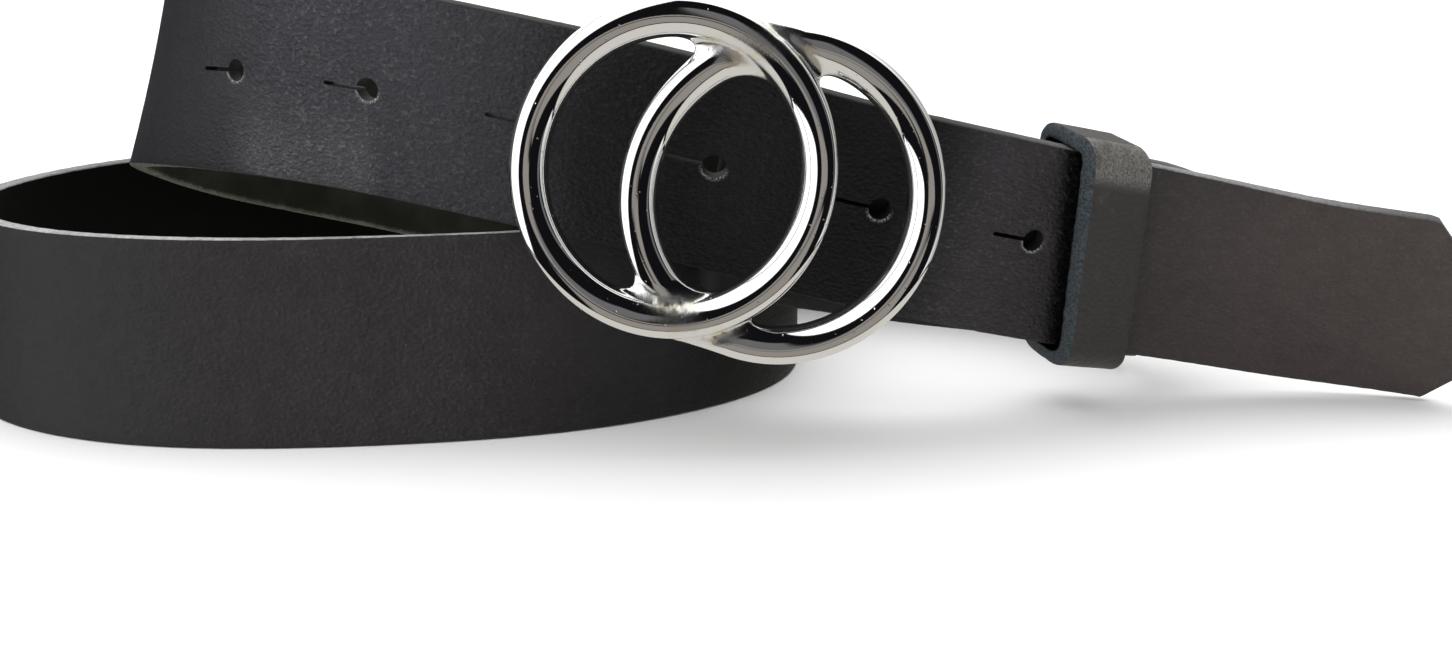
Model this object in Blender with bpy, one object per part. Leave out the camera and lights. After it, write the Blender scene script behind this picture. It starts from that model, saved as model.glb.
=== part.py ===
# Leather belt with a double-ring buckle, lying on its edge in a two-turn spiral
# Metres, +Z up. The origin is on the strap's bottom edge, where the front band comes nearest.
import math
from collections import namedtuple

import bmesh
import bpy
import numpy as np
from mathutils import Matrix, Vector

# Driving dimensions
STRAP_WIDTH = 0.035
STRAP_THICKNESS = 0.003
GAP = 0.0003
HOLE_DIAMETER = 0.0039
SLIT_WIDTH = 0.0007
RING_BAND = 0.0059
RING_DEPTH = 0.0046
BAR_DIAMETER = 0.0024
KEEPER_THICKNESS = 0.0025
KEEPER_TOP_ROUND = 0.0016
KEEPER_LOW_ROUND = 0.0020
KEEPER_SLACK = 0.0004
STUD_DIAMETER = 0.0028
STUD_HEAD = 0.0060
STUD_HEAD_THICK = 0.0018
STUD_CLEAR = 0.0011
RIVET_DIAMETER = 0.0030
RIVET_HEAD = 0.0064
RIVET_HEAD_THICK = 0.0009

# Sizes that are shares of the strap's width
HOLE_COUNT = 6
STUD_HOLE = 4
FIRST_HOLE = 2.775
HOLE_SPACING = 0.807
HOLE_LINE = 0.517
SLIT_LENGTH = 0.23
LOW_CORNER = 0.29
HIGH_CORNER = 0.46
RING_ALONG = 1.475
RING_ACROSS = 1.545
RING_SPREAD = 0.506
RING_STAND_OFF = 0.270
RING_SINK = 0.030
RING_DROP = 0.018
RING_BACK = 0.28
RING_FOOT = 0.80
DOME_FULLNESS = 0.78
BUCKLE_PLACE = 4.311
KEEPER_PLACE = 2.395
KEEPER_LENGTH = 0.395
KEEPER_SKEW = 17.0
KEEPER_TWIST = 7.0
BAR_PLACE = 0.12
BAR_TOP = 1.215
BAR_BOTTOM = 0.060
LAYER_START = 2.08
LAYER_SINK = 0.090
LAYER_SPREAD = 0.016
BEND_REACH = 0.52
FLAP_LENGTH = 0.75
FLAP_CLOSES = 0.35
RIVET_PLACE = 0.36

# The strap's route from its free end, as stretches between which it bends smoothly: length and
# rise as shares of the strap's width, the turn to the right and the outward lean of the top
# edge at the stretch's end in degrees
Stretch = namedtuple("Stretch", "name length turn rise lean")
ROUTE = (
    Stretch("free end", 1.165, -23.1, 0.132, 11.0),
    Stretch("towards the keeper", 1.038, -19.0, 0.203, 9.5),
    Stretch("keeper", 1.272, 15.1, 0.303, 10.5),
    Stretch("right of the buckle", 1.378, 11.7, 0.343, 8.5),
    Stretch("buckle", 1.315, 19.5, 0.184, 0.5),
    Stretch("left of the buckle", 1.048, 15.7, -0.011, -11.5),
    Stretch("rising into the coil", 0.795, 33.0, -0.111, -19.0),
    Stretch("coil", 1.042, 67.7, -0.364, -6.5),
    Stretch("coil ends", 1.385, 43.7, -0.354, 1.0),
    Stretch("behind", 1.572, 26.9, -0.225, 0.0),
    Stretch("inner run", 0.950, 40.1, -0.075, -1.5),
    Stretch("right turn", 1.030, 55.8, -0.025, 0.0),
    Stretch("right turn ends", 1.342, 35.1, 0.000, -9.5),
    Stretch("front right", 1.718, 23.9, 0.000, -5.5),
    Stretch("front", 1.025, 33.6, 0.000, -4.0),
    Stretch("front left", 0.948, 45.9, 0.000, -2.0),
    Stretch("left turn", 1.528, 49.3, 0.000, -3.0),
    Stretch("back left", 1.595, 41.2, 0.000, 0.0),
    Stretch("back right", 2.200, 22.0, 0.000, 0.0),
    Stretch("far right", 1.900, 14.0, 0.000, 0.0),
)
START_HEADING = 160.6
START_LEAN = 12.0
FRONT_STRETCH = "front right"

# The middle of the leather wrapped round the wire behind the second ring
WRAP_RADIUS = BAR_DIAMETER / 2 + GAP + STRAP_THICKNESS / 2
STEP = 0.0005

# Faceting: the most that a strap's facet leaves its curve, and the shortest and longest facet
FACET_ERROR = 0.00007
FACET_SHORT = 0.0011
FACET_LONG = 0.006
RING_SIDES = 56
DOME_SIDES = 8


def smooth_through(places, knots, values):
    """Values at the places on a smooth curve through the knots"""
    knots = np.asarray(knots, float)
    values = np.asarray(values, float)
    spans = np.diff(knots)
    slopes = np.diff(values) / spans
    tangents = np.empty(len(knots))
    tangents[0] = slopes[0]
    tangents[-1] = slopes[-1]
    tangents[1:-1] = (slopes[:-1] * spans[1:] + slopes[1:] * spans[:-1]) / (spans[:-1] + spans[1:])
    index = np.clip(np.searchsorted(knots, places, side="right") - 1, 0, len(spans) - 1)
    share = (places - knots[index]) / spans[index]
    span = spans[index]
    start = (2 * share**3 - 3 * share**2 + 1) * values[index]
    start_pull = (share**3 - 2 * share**2 + share) * span * tangents[index]
    end = (3 * share**2 - 2 * share**3) * values[index + 1]
    end_pull = (share**3 - share**2) * span * tangents[index + 1]
    return start + start_pull + end + end_pull


def unit(vectors):
    return vectors / np.linalg.norm(vectors, axis=-1, keepdims=True)


class Route:
    """A strap's bottom edge at mid thickness, with its directions along, across and outwards"""

    def __init__(self, base, across):
        self.base = base
        self.along = unit(np.gradient(base, axis=0))
        overlap = (across * self.along).sum(axis=1, keepdims=True)
        self.across = unit(across - overlap * self.along)
        self.out = np.cross(self.across, self.along)
        steps = np.linalg.norm(np.diff(base, axis=0), axis=1)
        self.distance = np.concatenate([[0.0], np.cumsum(steps)])
        self.length = self.distance[-1]

    def sample(self, values, distance):
        columns = [np.interp(distance, self.distance, values[:, axis]) for axis in range(3)]
        return np.stack(columns, axis=-1)

    def place(self, distance, height, outwards):
        """Points of the strap at a distance from the free end, a height across and a depth"""
        base = self.sample(self.base, distance)
        across = unit(self.sample(self.across, distance))
        out = unit(self.sample(self.out, distance))
        points = base + np.expand_dims(height, -1) * across + np.expand_dims(outwards, -1) * out
        lying = base[..., 2] < GAP
        points[..., 2] = np.where(lying & (np.asarray(height) < GAP), 0.0, points[..., 2])
        return points

    def axes(self, distance):
        """Mid-strap point and the three directions there, as vectors"""
        base = self.sample(self.base, distance)
        along = unit(self.sample(self.along, distance))
        across = unit(self.sample(self.across, distance))
        out = unit(self.sample(self.out, distance))
        centre = base + across * STRAP_WIDTH / 2
        return Vector(centre), Vector(along), Vector(across), Vector(out)


def spiral_route():
    """The route through the table above, from the free end to the far side"""
    knots = np.concatenate([[0.0], np.cumsum([stretch.length for stretch in ROUTE])]) * STRAP_WIDTH
    # The heading is measured from +X, and a turn to the right lowers it
    headings = START_HEADING - np.concatenate([[0.0], np.cumsum([stretch.turn for stretch in ROUTE])])
    heights = np.concatenate([[0.0], np.cumsum([stretch.rise for stretch in ROUTE])]) * STRAP_WIDTH
    leans = [START_LEAN] + [stretch.lean for stretch in ROUTE]
    places = np.arange(0.0, knots[-1], STEP)
    heading = np.radians(smooth_through(places, knots, headings))
    lean = np.radians(smooth_through(places, knots, leans))[:, None]
    height = np.maximum(smooth_through(places, knots, heights), 0.0)
    flat = np.stack([np.cos(heading), np.sin(heading)], axis=-1) * STEP
    base = np.zeros((len(places), 3))
    base[1:, :2] = np.cumsum((flat[1:] + flat[:-1]) / 2, axis=0)
    base[:, 2] = height
    side = np.stack([-np.sin(heading), np.cos(heading), np.zeros(len(places))], axis=-1)
    upright = np.cross(unit(np.gradient(base, axis=0)), side)
    across = np.cos(lean) * upright + np.sin(lean) * side
    front = [stretch.name for stretch in ROUTE].index(FRONT_STRETCH)
    origin = np.array([np.interp(knots[front], places, base[:, axis]) for axis in range(2)])
    base[:, :2] -= origin
    return Route(base, across)


def second_layer(spiral):
    """The other end's stretch behind the free end, from right of the keeper to the buckle's bar"""
    bar = (BUCKLE_PLACE - BAR_PLACE) * STRAP_WIDTH
    distance = np.arange(LAYER_START * STRAP_WIDTH, bar, STEP)
    run = distance - distance[0]
    across = unit(spiral.sample(spiral.across, distance))
    out = unit(spiral.sample(spiral.out, distance))
    behind = STRAP_THICKNESS + 2 * GAP + LAYER_SPREAD * run
    sink = LAYER_SINK * np.maximum(distance - KEEPER_PLACE * STRAP_WIDTH, 0.0)
    base = spiral.sample(spiral.base, distance) - out * behind[:, None] - across * sink[:, None]
    return Route(base, across)


def hidden_bend(spiral, layer):
    """The bend from the far side back to the layer behind the free end, as one cubic curve"""
    reach = BEND_REACH * STRAP_WIDTH
    points = (
        spiral.base[-1],
        spiral.base[-1] + spiral.along[-1] * reach,
        layer.base[0] - layer.along[0] * reach,
        layer.base[0],
    )
    count = int(2.2 * reach / STEP)
    share = (np.arange(1, count) / count)[:, None]
    weights = ((1 - share) ** 3, 3 * share * (1 - share) ** 2, 3 * share**2 * (1 - share), share**3)
    base = sum(weight * point for weight, point in zip(weights, points))
    blend = share * share * (3 - 2 * share)
    across = unit(spiral.across[-1] * (1 - blend) + layer.across[0] * blend)
    return base, across


def wrap_and_flap(layer):
    """The stretch that turns round the bar, closes in and lies back along the layer's bends"""
    along = layer.along[-1]
    across = layer.across[-1]
    out = layer.out[-1]
    bar = layer.base[-1] - out * WRAP_RADIUS
    angle = np.arange(STEP / WRAP_RADIUS, math.pi, STEP / WRAP_RADIUS)[:, None]
    wrap = bar + WRAP_RADIUS * (out * np.cos(angle) + along * np.sin(angle))
    back = np.arange(STEP, FLAP_LENGTH * STRAP_WIDTH, STEP)
    mirrored = layer.length - back
    followed = layer.sample(layer.base, mirrored)
    follow_out = unit(layer.sample(layer.out, mirrored))
    closing = np.clip(back / (FLAP_CLOSES * STRAP_WIDTH), 0.0, 1.0)
    closing = closing * closing * (3 - 2 * closing)
    behind = 2 * WRAP_RADIUS * (1 - closing) + (STRAP_THICKNESS + GAP) * closing
    flap = followed - follow_out * behind[:, None]
    flap_across = unit(layer.sample(layer.across, mirrored))
    base = np.concatenate([wrap, flap])
    return base, np.concatenate([np.tile(across, (len(wrap), 1)), flap_across])


def whole_route(spiral, layer):
    bend, bend_across = hidden_bend(spiral, layer)
    end, end_across = wrap_and_flap(layer)
    base = np.concatenate([spiral.base, bend, layer.base, end])
    across = np.concatenate([spiral.across, bend_across, layer.across, end_across])
    route = Route(base, across)
    wrap_start = len(spiral.base) + len(bend) + len(layer.base) - 1
    return route, route.distance[wrap_start]


def station_places(route):
    """Distances along the strap, close together where it bends tightly"""
    turning = np.linalg.norm(np.gradient(route.along, axis=0), axis=1) / np.gradient(route.distance)
    places = [0.0]
    while places[-1] < route.length:
        radius = 1 / max(np.interp(places[-1] + FACET_SHORT, route.distance, turning), 1.0)
        chord = math.sqrt(8 * radius * FACET_ERROR)
        places.append(places[-1] + min(max(chord, FACET_SHORT), FACET_LONG))
    places[-1] = route.length
    if places[-1] - places[-2] < FACET_SHORT:
        places.pop(-2)
    return places


def material(name, colour, metallic, roughness):
    result = bpy.data.materials.new(name)
    result.use_nodes = True
    shader = result.node_tree.nodes["Principled BSDF"]
    shader.inputs["Base Color"].default_value = (*colour, 1.0)
    shader.inputs["Metallic"].default_value = metallic
    shader.inputs["Roughness"].default_value = roughness
    return result


def add_object(name, mesh, surface=None):
    result = bpy.data.objects.new(name, mesh)
    bpy.context.collection.objects.link(result)
    if surface:
        mesh.materials.append(surface)
    return result


def finish_mesh(name, bm):
    bmesh.ops.recalc_face_normals(bm, faces=bm.faces)
    mesh = bpy.data.meshes.new(name)
    bm.to_mesh(mesh)
    bm.free()
    return mesh


def extrude_outline(name, outline, low, high):
    """Prism with the outline in the X-Y plane between two heights"""
    bm = bmesh.new()
    face = bm.faces.new([bm.verts.new((x, y, low)) for x, y in outline])
    moved = bmesh.ops.extrude_face_region(bm, geom=[face])["geom"]
    verts = [item for item in moved if isinstance(item, bmesh.types.BMVert)]
    bmesh.ops.translate(bm, verts=verts, vec=(0, 0, high - low))
    return finish_mesh(name, bm)


def cut(target, cutters):
    """Cut each cutter out of the target and bake the result into its mesh"""
    for cutter in cutters:
        cutter.hide_render = True
        cutter.display_type = "WIRE"
        modifier = target.modifiers.new(cutter.name, "BOOLEAN")
        modifier.operation = "DIFFERENCE"
        modifier.solver = "EXACT"
        modifier.object = cutter
    return bake(target, cutters)


def join(target, others):
    """Join the others to the target as one closed body"""
    for other in others:
        modifier = target.modifiers.new(other.name, "BOOLEAN")
        modifier.operation = "UNION"
        modifier.solver = "EXACT"
        modifier.object = other
    return bake(target, others)


def bake(target, helpers):
    bpy.context.view_layer.update()
    evaluated = target.evaluated_get(bpy.context.evaluated_depsgraph_get())
    mesh = bpy.data.meshes.new_from_object(evaluated)
    target.modifiers.clear()
    target.data = mesh
    for helper in helpers:
        bpy.data.objects.remove(helper)
    return target


def flat_strap(route):
    """The strap laid out flat: across it X, along it Y, outwards Z"""
    places = station_places(route)
    rows = (0.0, 0.25, 0.75, 1.0)
    half = STRAP_THICKNESS / 2
    bm = bmesh.new()
    rings = []
    for place in places:
        low = max(LOW_CORNER * STRAP_WIDTH - place, 0.0)
        high = STRAP_WIDTH - max(HIGH_CORNER * STRAP_WIDTH - place, 0.0)
        heights = [low + share * (high - low) for share in rows]
        under = [bm.verts.new((height, place, -half)) for height in heights]
        over = [bm.verts.new((height, place, half)) for height in reversed(heights)]
        rings.append(under + over)
    for first, second in zip(rings[:-1], rings[1:]):
        for index in range(len(first)):
            after = (index + 1) % len(first)
            bm.faces.new((first[index], first[after], second[after], second[index]))
    bm.faces.new(rings[0])
    bm.faces.new(list(reversed(rings[-1])))
    return finish_mesh("strap", bm)


def keyhole_outline(height, place):
    """A round hole with a narrow slit leading away from the free end"""
    radius = HOLE_DIAMETER / 2
    half = SLIT_WIDTH / 2
    opening = math.asin(half / radius)
    count = 14
    outline = []
    for index in range(count + 1):
        angle = opening + index * (2 * math.pi - 2 * opening) / count
        outline.append((height - radius * math.sin(angle), place + radius * math.cos(angle)))
    slit_end = place + SLIT_LENGTH * STRAP_WIDTH
    outline.append((height + half, slit_end))
    outline.append((height - half, slit_end))
    return outline


def round_outline(height, place, radius, count=14):
    angles = [2 * math.pi * index / count for index in range(count)]
    return [(height + radius * math.cos(a), place + radius * math.sin(a)) for a in angles]


def make_strap(route, wrap_start, surface):
    strap = add_object("strap", flat_strap(route), surface)
    depth = STRAP_THICKNESS
    cutters = []
    for index in range(HOLE_COUNT):
        place = (FIRST_HOLE + index * HOLE_SPACING) * STRAP_WIDTH
        outline = keyhole_outline(HOLE_LINE * STRAP_WIDTH, place)
        cutters.append(add_object("keyhole", extrude_outline("keyhole", outline, -depth, depth)))
    rivet = RIVET_PLACE * STRAP_WIDTH
    wrap_length = math.pi * WRAP_RADIUS
    for place in (wrap_start - rivet, wrap_start + wrap_length + rivet + GAP):
        outline = round_outline(STRAP_WIDTH / 2, place, RIVET_DIAMETER / 2 + 2 * GAP)
        cutters.append(add_object("rivet hole", extrude_outline("rivet hole", outline, -depth, depth)))
    cut(strap, cutters)
    bm = bmesh.new()
    bm.from_mesh(strap.data)
    bmesh.ops.triangulate(bm, faces=bm.faces)
    flat = np.array([vert.co for vert in bm.verts])
    bent = route.place(flat[:, 1], flat[:, 0], flat[:, 2])
    for vert, point in zip(bm.verts, bent):
        vert.co = point
    bm.to_mesh(strap.data)
    bm.free()
    shade(strap)
    return strap


def shade(target):
    target.data.shade_smooth()
    target.data.set_sharp_from_angle(angle=math.radians(35))


def rounded_loop(width, depth, top_radius, low_radius, steps=5):
    """Points round a rectangle with round corners, centred on zero, its top at +X"""
    points = []
    for quarter in range(4):
        side_x = 1 if quarter in (0, 3) else -1
        side_y = 1 if quarter in (0, 1) else -1
        radius = top_radius if side_x > 0 else low_radius
        for index in range(steps + 1):
            angle = math.pi / 2 * (quarter + index / steps)
            x = side_x * (width / 2 - radius) + radius * math.cos(angle)
            y = side_y * (depth / 2 - radius) + radius * math.sin(angle)
            points.append((x, y))
    return points


def make_keeper(spiral, surface):
    """A leather loop round the free end and the layer behind it, hanging by its top fold"""
    layers = 2 * STRAP_THICKNESS + 2 * GAP
    half = KEEPER_LENGTH * STRAP_WIDTH / 2
    twist = math.radians(KEEPER_TWIST)
    wall = KEEPER_THICKNESS
    drop = LAYER_SINK * half + KEEPER_SLACK
    inner_depth = layers + (math.sin(twist) + LAYER_SPREAD) * 2 * half + 6 * GAP
    inner_width = STRAP_WIDTH + drop + 2 * GAP
    skew = math.tan(math.radians(KEEPER_SKEW))
    inner = rounded_loop(inner_width, inner_depth, KEEPER_TOP_ROUND, KEEPER_LOW_ROUND)
    outer_rounds = (KEEPER_TOP_ROUND + wall, KEEPER_LOW_ROUND + wall)
    outer = rounded_loop(inner_width + 2 * wall, inner_depth + 2 * wall, *outer_rounds)
    bm = bmesh.new()
    rings = []
    for outline, place in ((outer, -half), (outer, half), (inner, half), (inner, -half)):
        rings.append([bm.verts.new((x, place + x * skew, y)) for x, y in outline])
    for first, second in zip(rings, rings[1:] + rings[:1]):
        for index in range(len(first)):
            after = (index + 1) % len(first)
            bm.faces.new((first[index], first[after], second[after], second[index]))
    keeper = add_object("keeper", finish_mesh("keeper", bm), surface)
    centre, along, across, out = spiral.axes(KEEPER_PLACE * STRAP_WIDTH)
    turned = along * math.cos(twist) + out * math.sin(twist)
    outwards = out * math.cos(twist) - along * math.sin(twist)
    middle = centre - out * (STRAP_THICKNESS / 2 + GAP) - across * drop / 2
    keeper.matrix_world = frame_matrix(middle, across, turned, outwards)
    shade(keeper)
    return keeper


def frame_matrix(origin, across, along, out):
    """Local X across the strap, Y along it and Z outwards"""
    matrix = Matrix((across, along, out)).transposed().to_4x4()
    matrix.translation = origin
    return matrix


def ring_mesh(name, centre_y, centre_z):
    """A round band with a flat back and a domed front, in the X-Y plane"""
    profile = []
    for index in range(DOME_SIDES + 1):
        angle = math.pi * index / DOME_SIDES
        dome = math.copysign(abs(math.cos(angle)) ** DOME_FULLNESS, math.cos(angle))
        rise = math.sin(angle) ** DOME_FULLNESS * (1 - RING_BACK)
        profile.append((dome * RING_BAND / 2, rise * RING_DEPTH))
    profile.append((-RING_BAND * RING_FOOT / 2, -RING_DEPTH * RING_BACK))
    profile.append((RING_BAND * RING_FOOT / 2, -RING_DEPTH * RING_BACK))
    radius_x = (RING_ACROSS * STRAP_WIDTH - RING_BAND) / 2
    radius_y = (RING_ALONG * STRAP_WIDTH - RING_BAND) / 2
    bm = bmesh.new()
    rings = []
    for step in range(RING_SIDES):
        angle = 2 * math.pi * step / RING_SIDES
        centre = Vector((radius_x * math.cos(angle), radius_y * math.sin(angle), 0))
        normal = Vector((math.cos(angle) / radius_x, math.sin(angle) / radius_y, 0)).normalized()
        offset = Vector((0, centre_y, centre_z))
        rings.append([bm.verts.new(offset + centre + normal * r + Vector((0, 0, z))) for r, z in profile])
    for first, second in zip(rings, rings[1:] + rings[:1]):
        for index in range(len(profile)):
            after = (index + 1) % len(profile)
            bm.faces.new((first[index], first[after], second[after], second[index]))
    return finish_mesh(name, bm)


def rod_mesh(name, points, radius, sides=10):
    """A round rod through the points, with mitred corners"""
    bm = bmesh.new()
    rings = []
    for index, point in enumerate(points):
        before = points[max(index - 1, 0)]
        after = points[min(index + 1, len(points) - 1)]
        arrive = (point - before).normalized() if index else (after - point).normalized()
        leave = (after - point).normalized() if index < len(points) - 1 else arrive
        direction = (arrive + leave).normalized()
        if index == 0:
            normal = direction.orthogonal().normalized()
        # The section's axes are carried along and stretched across a mitre
        normal = (normal - direction * normal.dot(direction)).normalized()
        binormal = direction.cross(normal)
        bend = leave - arrive
        ring = []
        for side in range(sides):
            angle = 2 * math.pi * side / sides
            offset = (normal * math.cos(angle) + binormal * math.sin(angle)) * radius
            if bend.length > 1e-6:
                axis = bend.normalized()
                stretch = 1 / max(direction.dot(arrive), 0.3)
                offset += axis * offset.dot(axis) * (stretch - 1)
            ring.append(bm.verts.new(point + offset))
        rings.append(ring)
    for first, second in zip(rings[:-1], rings[1:]):
        for side in range(sides):
            after = (side + 1) % sides
            bm.faces.new((first[side], first[after], second[after], second[side]))
    bm.faces.new(rings[0])
    bm.faces.new(rings[-1])
    return finish_mesh(name, bm)


def spindle_mesh(name, profile, sides=20):
    """A turned piece round Z through (radius, height) pairs, closed at both ends"""
    bm = bmesh.new()
    rings = []
    for radius, height in profile:
        angles = [2 * math.pi * side / sides for side in range(sides)]
        rings.append([bm.verts.new((radius * math.cos(a), radius * math.sin(a), height)) for a in angles])
    for first, second in zip(rings[:-1], rings[1:]):
        for side in range(sides):
            after = (side + 1) % sides
            bm.faces.new((first[side], first[after], second[after], second[side]))
    bm.faces.new(rings[0])
    bm.faces.new(rings[-1])
    return finish_mesh(name, bm)


def make_buckle(spiral, layer, surface):
    """Two overlapping rings, the wire bar behind one and the stud behind the other, as one body"""
    centre, along, across, out = spiral.axes(BUCKLE_PLACE * STRAP_WIDTH)
    # The rings stand upright although the strap behind them leans
    out = Vector((out.x, out.y, 0.0)).normalized()
    along = (along - out * along.dot(out)).normalized()
    across = along.cross(out)
    half_spread = RING_SPREAD / 2 * STRAP_WIDTH
    middle = centre + out * (RING_STAND_OFF * STRAP_WIDTH) - across * (RING_DROP * STRAP_WIDTH)
    place = frame_matrix(middle, across, along, out)
    buckle = add_object("buckle", ring_mesh("buckle", half_spread, 0.0), surface)
    buckle.matrix_world = place
    second = add_object("second ring", ring_mesh("second ring", -half_spread, -RING_SINK * STRAP_WIDTH))
    second.matrix_world = place
    bar = make_bar(layer, place, half_spread)
    stud = make_stud(spiral, place, half_spread)
    join(buckle, [second, bar, stud])
    shade(buckle)
    return buckle


def make_bar(layer, place, half_spread):
    """The wire loop: from the second ring's top back, down behind the strap and forward again"""
    wrapped = Vector(layer.base[-1] - layer.out[-1] * WRAP_RADIUS)
    direction = Vector(layer.across[-1])
    high = (RING_ACROSS * STRAP_WIDTH - RING_BAND) / 2
    wide = (RING_ALONG * STRAP_WIDTH - RING_BAND) / 2
    # The wire meets the second ring where its band passes behind the first
    shift = half_spread - BAR_PLACE * STRAP_WIDTH
    rise = high * math.sqrt(1 - (shift / wide) ** 2)
    depth = -RING_SINK * STRAP_WIDTH
    top = place @ Vector((rise, shift - half_spread, depth))
    bottom = place @ Vector((-rise, shift - half_spread, depth))
    top_back = wrapped + direction * BAR_TOP * STRAP_WIDTH
    bottom_back = wrapped - direction * BAR_BOTTOM * STRAP_WIDTH
    points = [top, top_back, bottom_back, bottom]
    return add_object("bar", rod_mesh("bar", points, BAR_DIAMETER / 2))


def make_stud(spiral, place, half_spread):
    """The round-headed stud from the first ring's band through one of the holes"""
    hole = (FIRST_HOLE + (STUD_HOLE - 1) * HOLE_SPACING) * STRAP_WIDTH
    height = np.asarray(HOLE_LINE * STRAP_WIDTH)
    hole_centre = Vector(spiral.place(hole, height, np.asarray(0.0)))
    radius = (RING_ALONG * STRAP_WIDTH - RING_BAND) / 2
    band = place @ Vector((0, half_spread + radius, 0))
    axis = (band - hole_centre).normalized()
    reach = (band - hole_centre).length
    neck = STUD_DIAMETER / 2
    head = STUD_HEAD / 2
    back = -STRAP_THICKNESS / 2 - STUD_CLEAR
    profile = (
        (head * 0.40, back - STUD_HEAD_THICK),
        (head * 0.87, back - STUD_HEAD_THICK * 0.78),
        (head, back - STUD_HEAD_THICK * 0.39),
        (head * 0.87, back),
        (neck, back),
        (neck, reach),
    )
    stud = add_object("stud", spindle_mesh("stud", profile, 16))
    turn = Vector((0, 0, 1)).rotation_difference(axis).to_matrix().to_4x4()
    stud.matrix_world = Matrix.Translation(hole_centre) @ turn
    return stud


def make_rivet(route, wrap_start, surface):
    """The plain rivet through the layer and the flap folded back behind it"""
    centre, along, across, out = route.axes(wrap_start - RIVET_PLACE * STRAP_WIDTH)
    front = STRAP_THICKNESS / 2 + GAP
    back = front + STRAP_THICKNESS + GAP * 2
    head = RIVET_HEAD / 2
    profile = (
        (head * 0.75, -back - RIVET_HEAD_THICK),
        (head, -back - RIVET_HEAD_THICK * 0.55),
        (head, -back),
        (RIVET_DIAMETER / 2, -back),
        (RIVET_DIAMETER / 2, front),
        (head, front),
        (head * 0.9, front + RIVET_HEAD_THICK * 0.65),
    )
    rivet = add_object("rivet", spindle_mesh("rivet", profile), surface)
    rivet.matrix_world = frame_matrix(centre, across, along, out)
    shade(rivet)
    return rivet


def main():
    for old in list(bpy.data.objects):
        bpy.data.objects.remove(old)
    leather = material("strap_leather", (0.040, 0.037, 0.036), 0.0, 0.55)
    keeper_leather = material("keeper_leather", (0.043, 0.040, 0.038), 0.0, 0.52)
    chrome = material("chrome", (0.86, 0.86, 0.86), 1.0, 0.06)
    steel = material("rivet_steel", (0.60, 0.60, 0.61), 1.0, 0.25)
    spiral = spiral_route()
    layer = second_layer(spiral)
    route, wrap_start = whole_route(spiral, layer)
    make_strap(route, wrap_start, leather)
    make_keeper(spiral, keeper_leather)
    make_buckle(spiral, layer, chrome)
    make_rivet(route, wrap_start, steel)


main()
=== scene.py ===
# Leather belt with a double-ring buckle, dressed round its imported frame
# Metres, +Z up, in the frame's own axes
import math
from collections import namedtuple

import bmesh
import bpy
import numpy as np
from mathutils import Matrix, Vector


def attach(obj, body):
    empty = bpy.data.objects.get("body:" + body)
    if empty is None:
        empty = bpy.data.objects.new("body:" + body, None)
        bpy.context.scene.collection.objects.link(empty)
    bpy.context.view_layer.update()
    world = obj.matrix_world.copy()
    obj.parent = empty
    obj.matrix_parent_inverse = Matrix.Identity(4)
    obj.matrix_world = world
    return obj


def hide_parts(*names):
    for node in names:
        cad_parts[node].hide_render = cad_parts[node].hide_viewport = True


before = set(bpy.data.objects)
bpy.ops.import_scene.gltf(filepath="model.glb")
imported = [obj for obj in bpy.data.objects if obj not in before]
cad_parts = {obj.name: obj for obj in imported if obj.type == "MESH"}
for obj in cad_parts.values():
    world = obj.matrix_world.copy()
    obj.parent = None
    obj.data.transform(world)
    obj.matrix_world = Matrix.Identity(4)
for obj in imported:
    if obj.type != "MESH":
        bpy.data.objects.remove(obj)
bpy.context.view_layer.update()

# Camera
# A hand-held camera a quarter of a metre in front of the buckle, a little above it and looking
# slightly down along the table.
CAMERA_PLACE = Vector((0.03328, -0.24958, 0.08787))
CAMERA_PITCH = math.radians(15.59)
CAMERA_ROLL = math.radians(0.52)
CAMERA_LENS = 37.94
CAMERA_SENSOR = 36.0


def axes_matrix(first, second, third, origin):
    """The matrix whose local X, Y and Z are the three directions"""
    matrix = Matrix((first, second, third)).transposed().to_4x4()
    matrix.translation = origin
    return matrix


def add_object(name, data):
    added = bpy.data.objects.new(name, data)
    bpy.context.collection.objects.link(added)
    return added


def hang_camera():
    level = Vector((1, 0, 0))
    upright = Vector((0, math.sin(CAMERA_PITCH), math.cos(CAMERA_PITCH)))
    right = math.cos(CAMERA_ROLL) * level + math.sin(CAMERA_ROLL) * upright
    up = math.cos(CAMERA_ROLL) * upright - math.sin(CAMERA_ROLL) * level
    data = bpy.data.cameras.new("camera")
    data.lens = CAMERA_LENS
    data.sensor_width = CAMERA_SENSOR
    data.clip_start = 0.01
    camera = add_object("camera", data)
    camera.matrix_world = axes_matrix(right, up, right.cross(up), CAMERA_PLACE)
    bpy.context.scene.camera = camera


hang_camera()

# Table
# A sheet of matt white paper that reaches past the picture on every side. Polished metal mirrors
# the room below it instead, so that the rings keep their dark bands.
TABLE_REACH = 6.0
TABLE_WHITE = (0.88, 0.88, 0.88, 1)


def lay_table():
    bm = bmesh.new()
    bmesh.ops.create_grid(bm, x_segments=1, y_segments=1, size=TABLE_REACH)
    mesh = bpy.data.meshes.new("table")
    bm.to_mesh(mesh)
    bm.free()
    paper = bpy.data.materials.new("table_paper")
    paper.use_nodes = True
    shader = paper.node_tree.nodes["Principled BSDF"]
    shader.inputs["Base Color"].default_value = TABLE_WHITE
    shader.inputs["Roughness"].default_value = 0.9
    shader.inputs["Specular IOR Level"].default_value = 0.1
    mesh.materials.append(paper)
    table = add_object("table", mesh)
    table.visible_glossy = False


lay_table()

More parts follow.
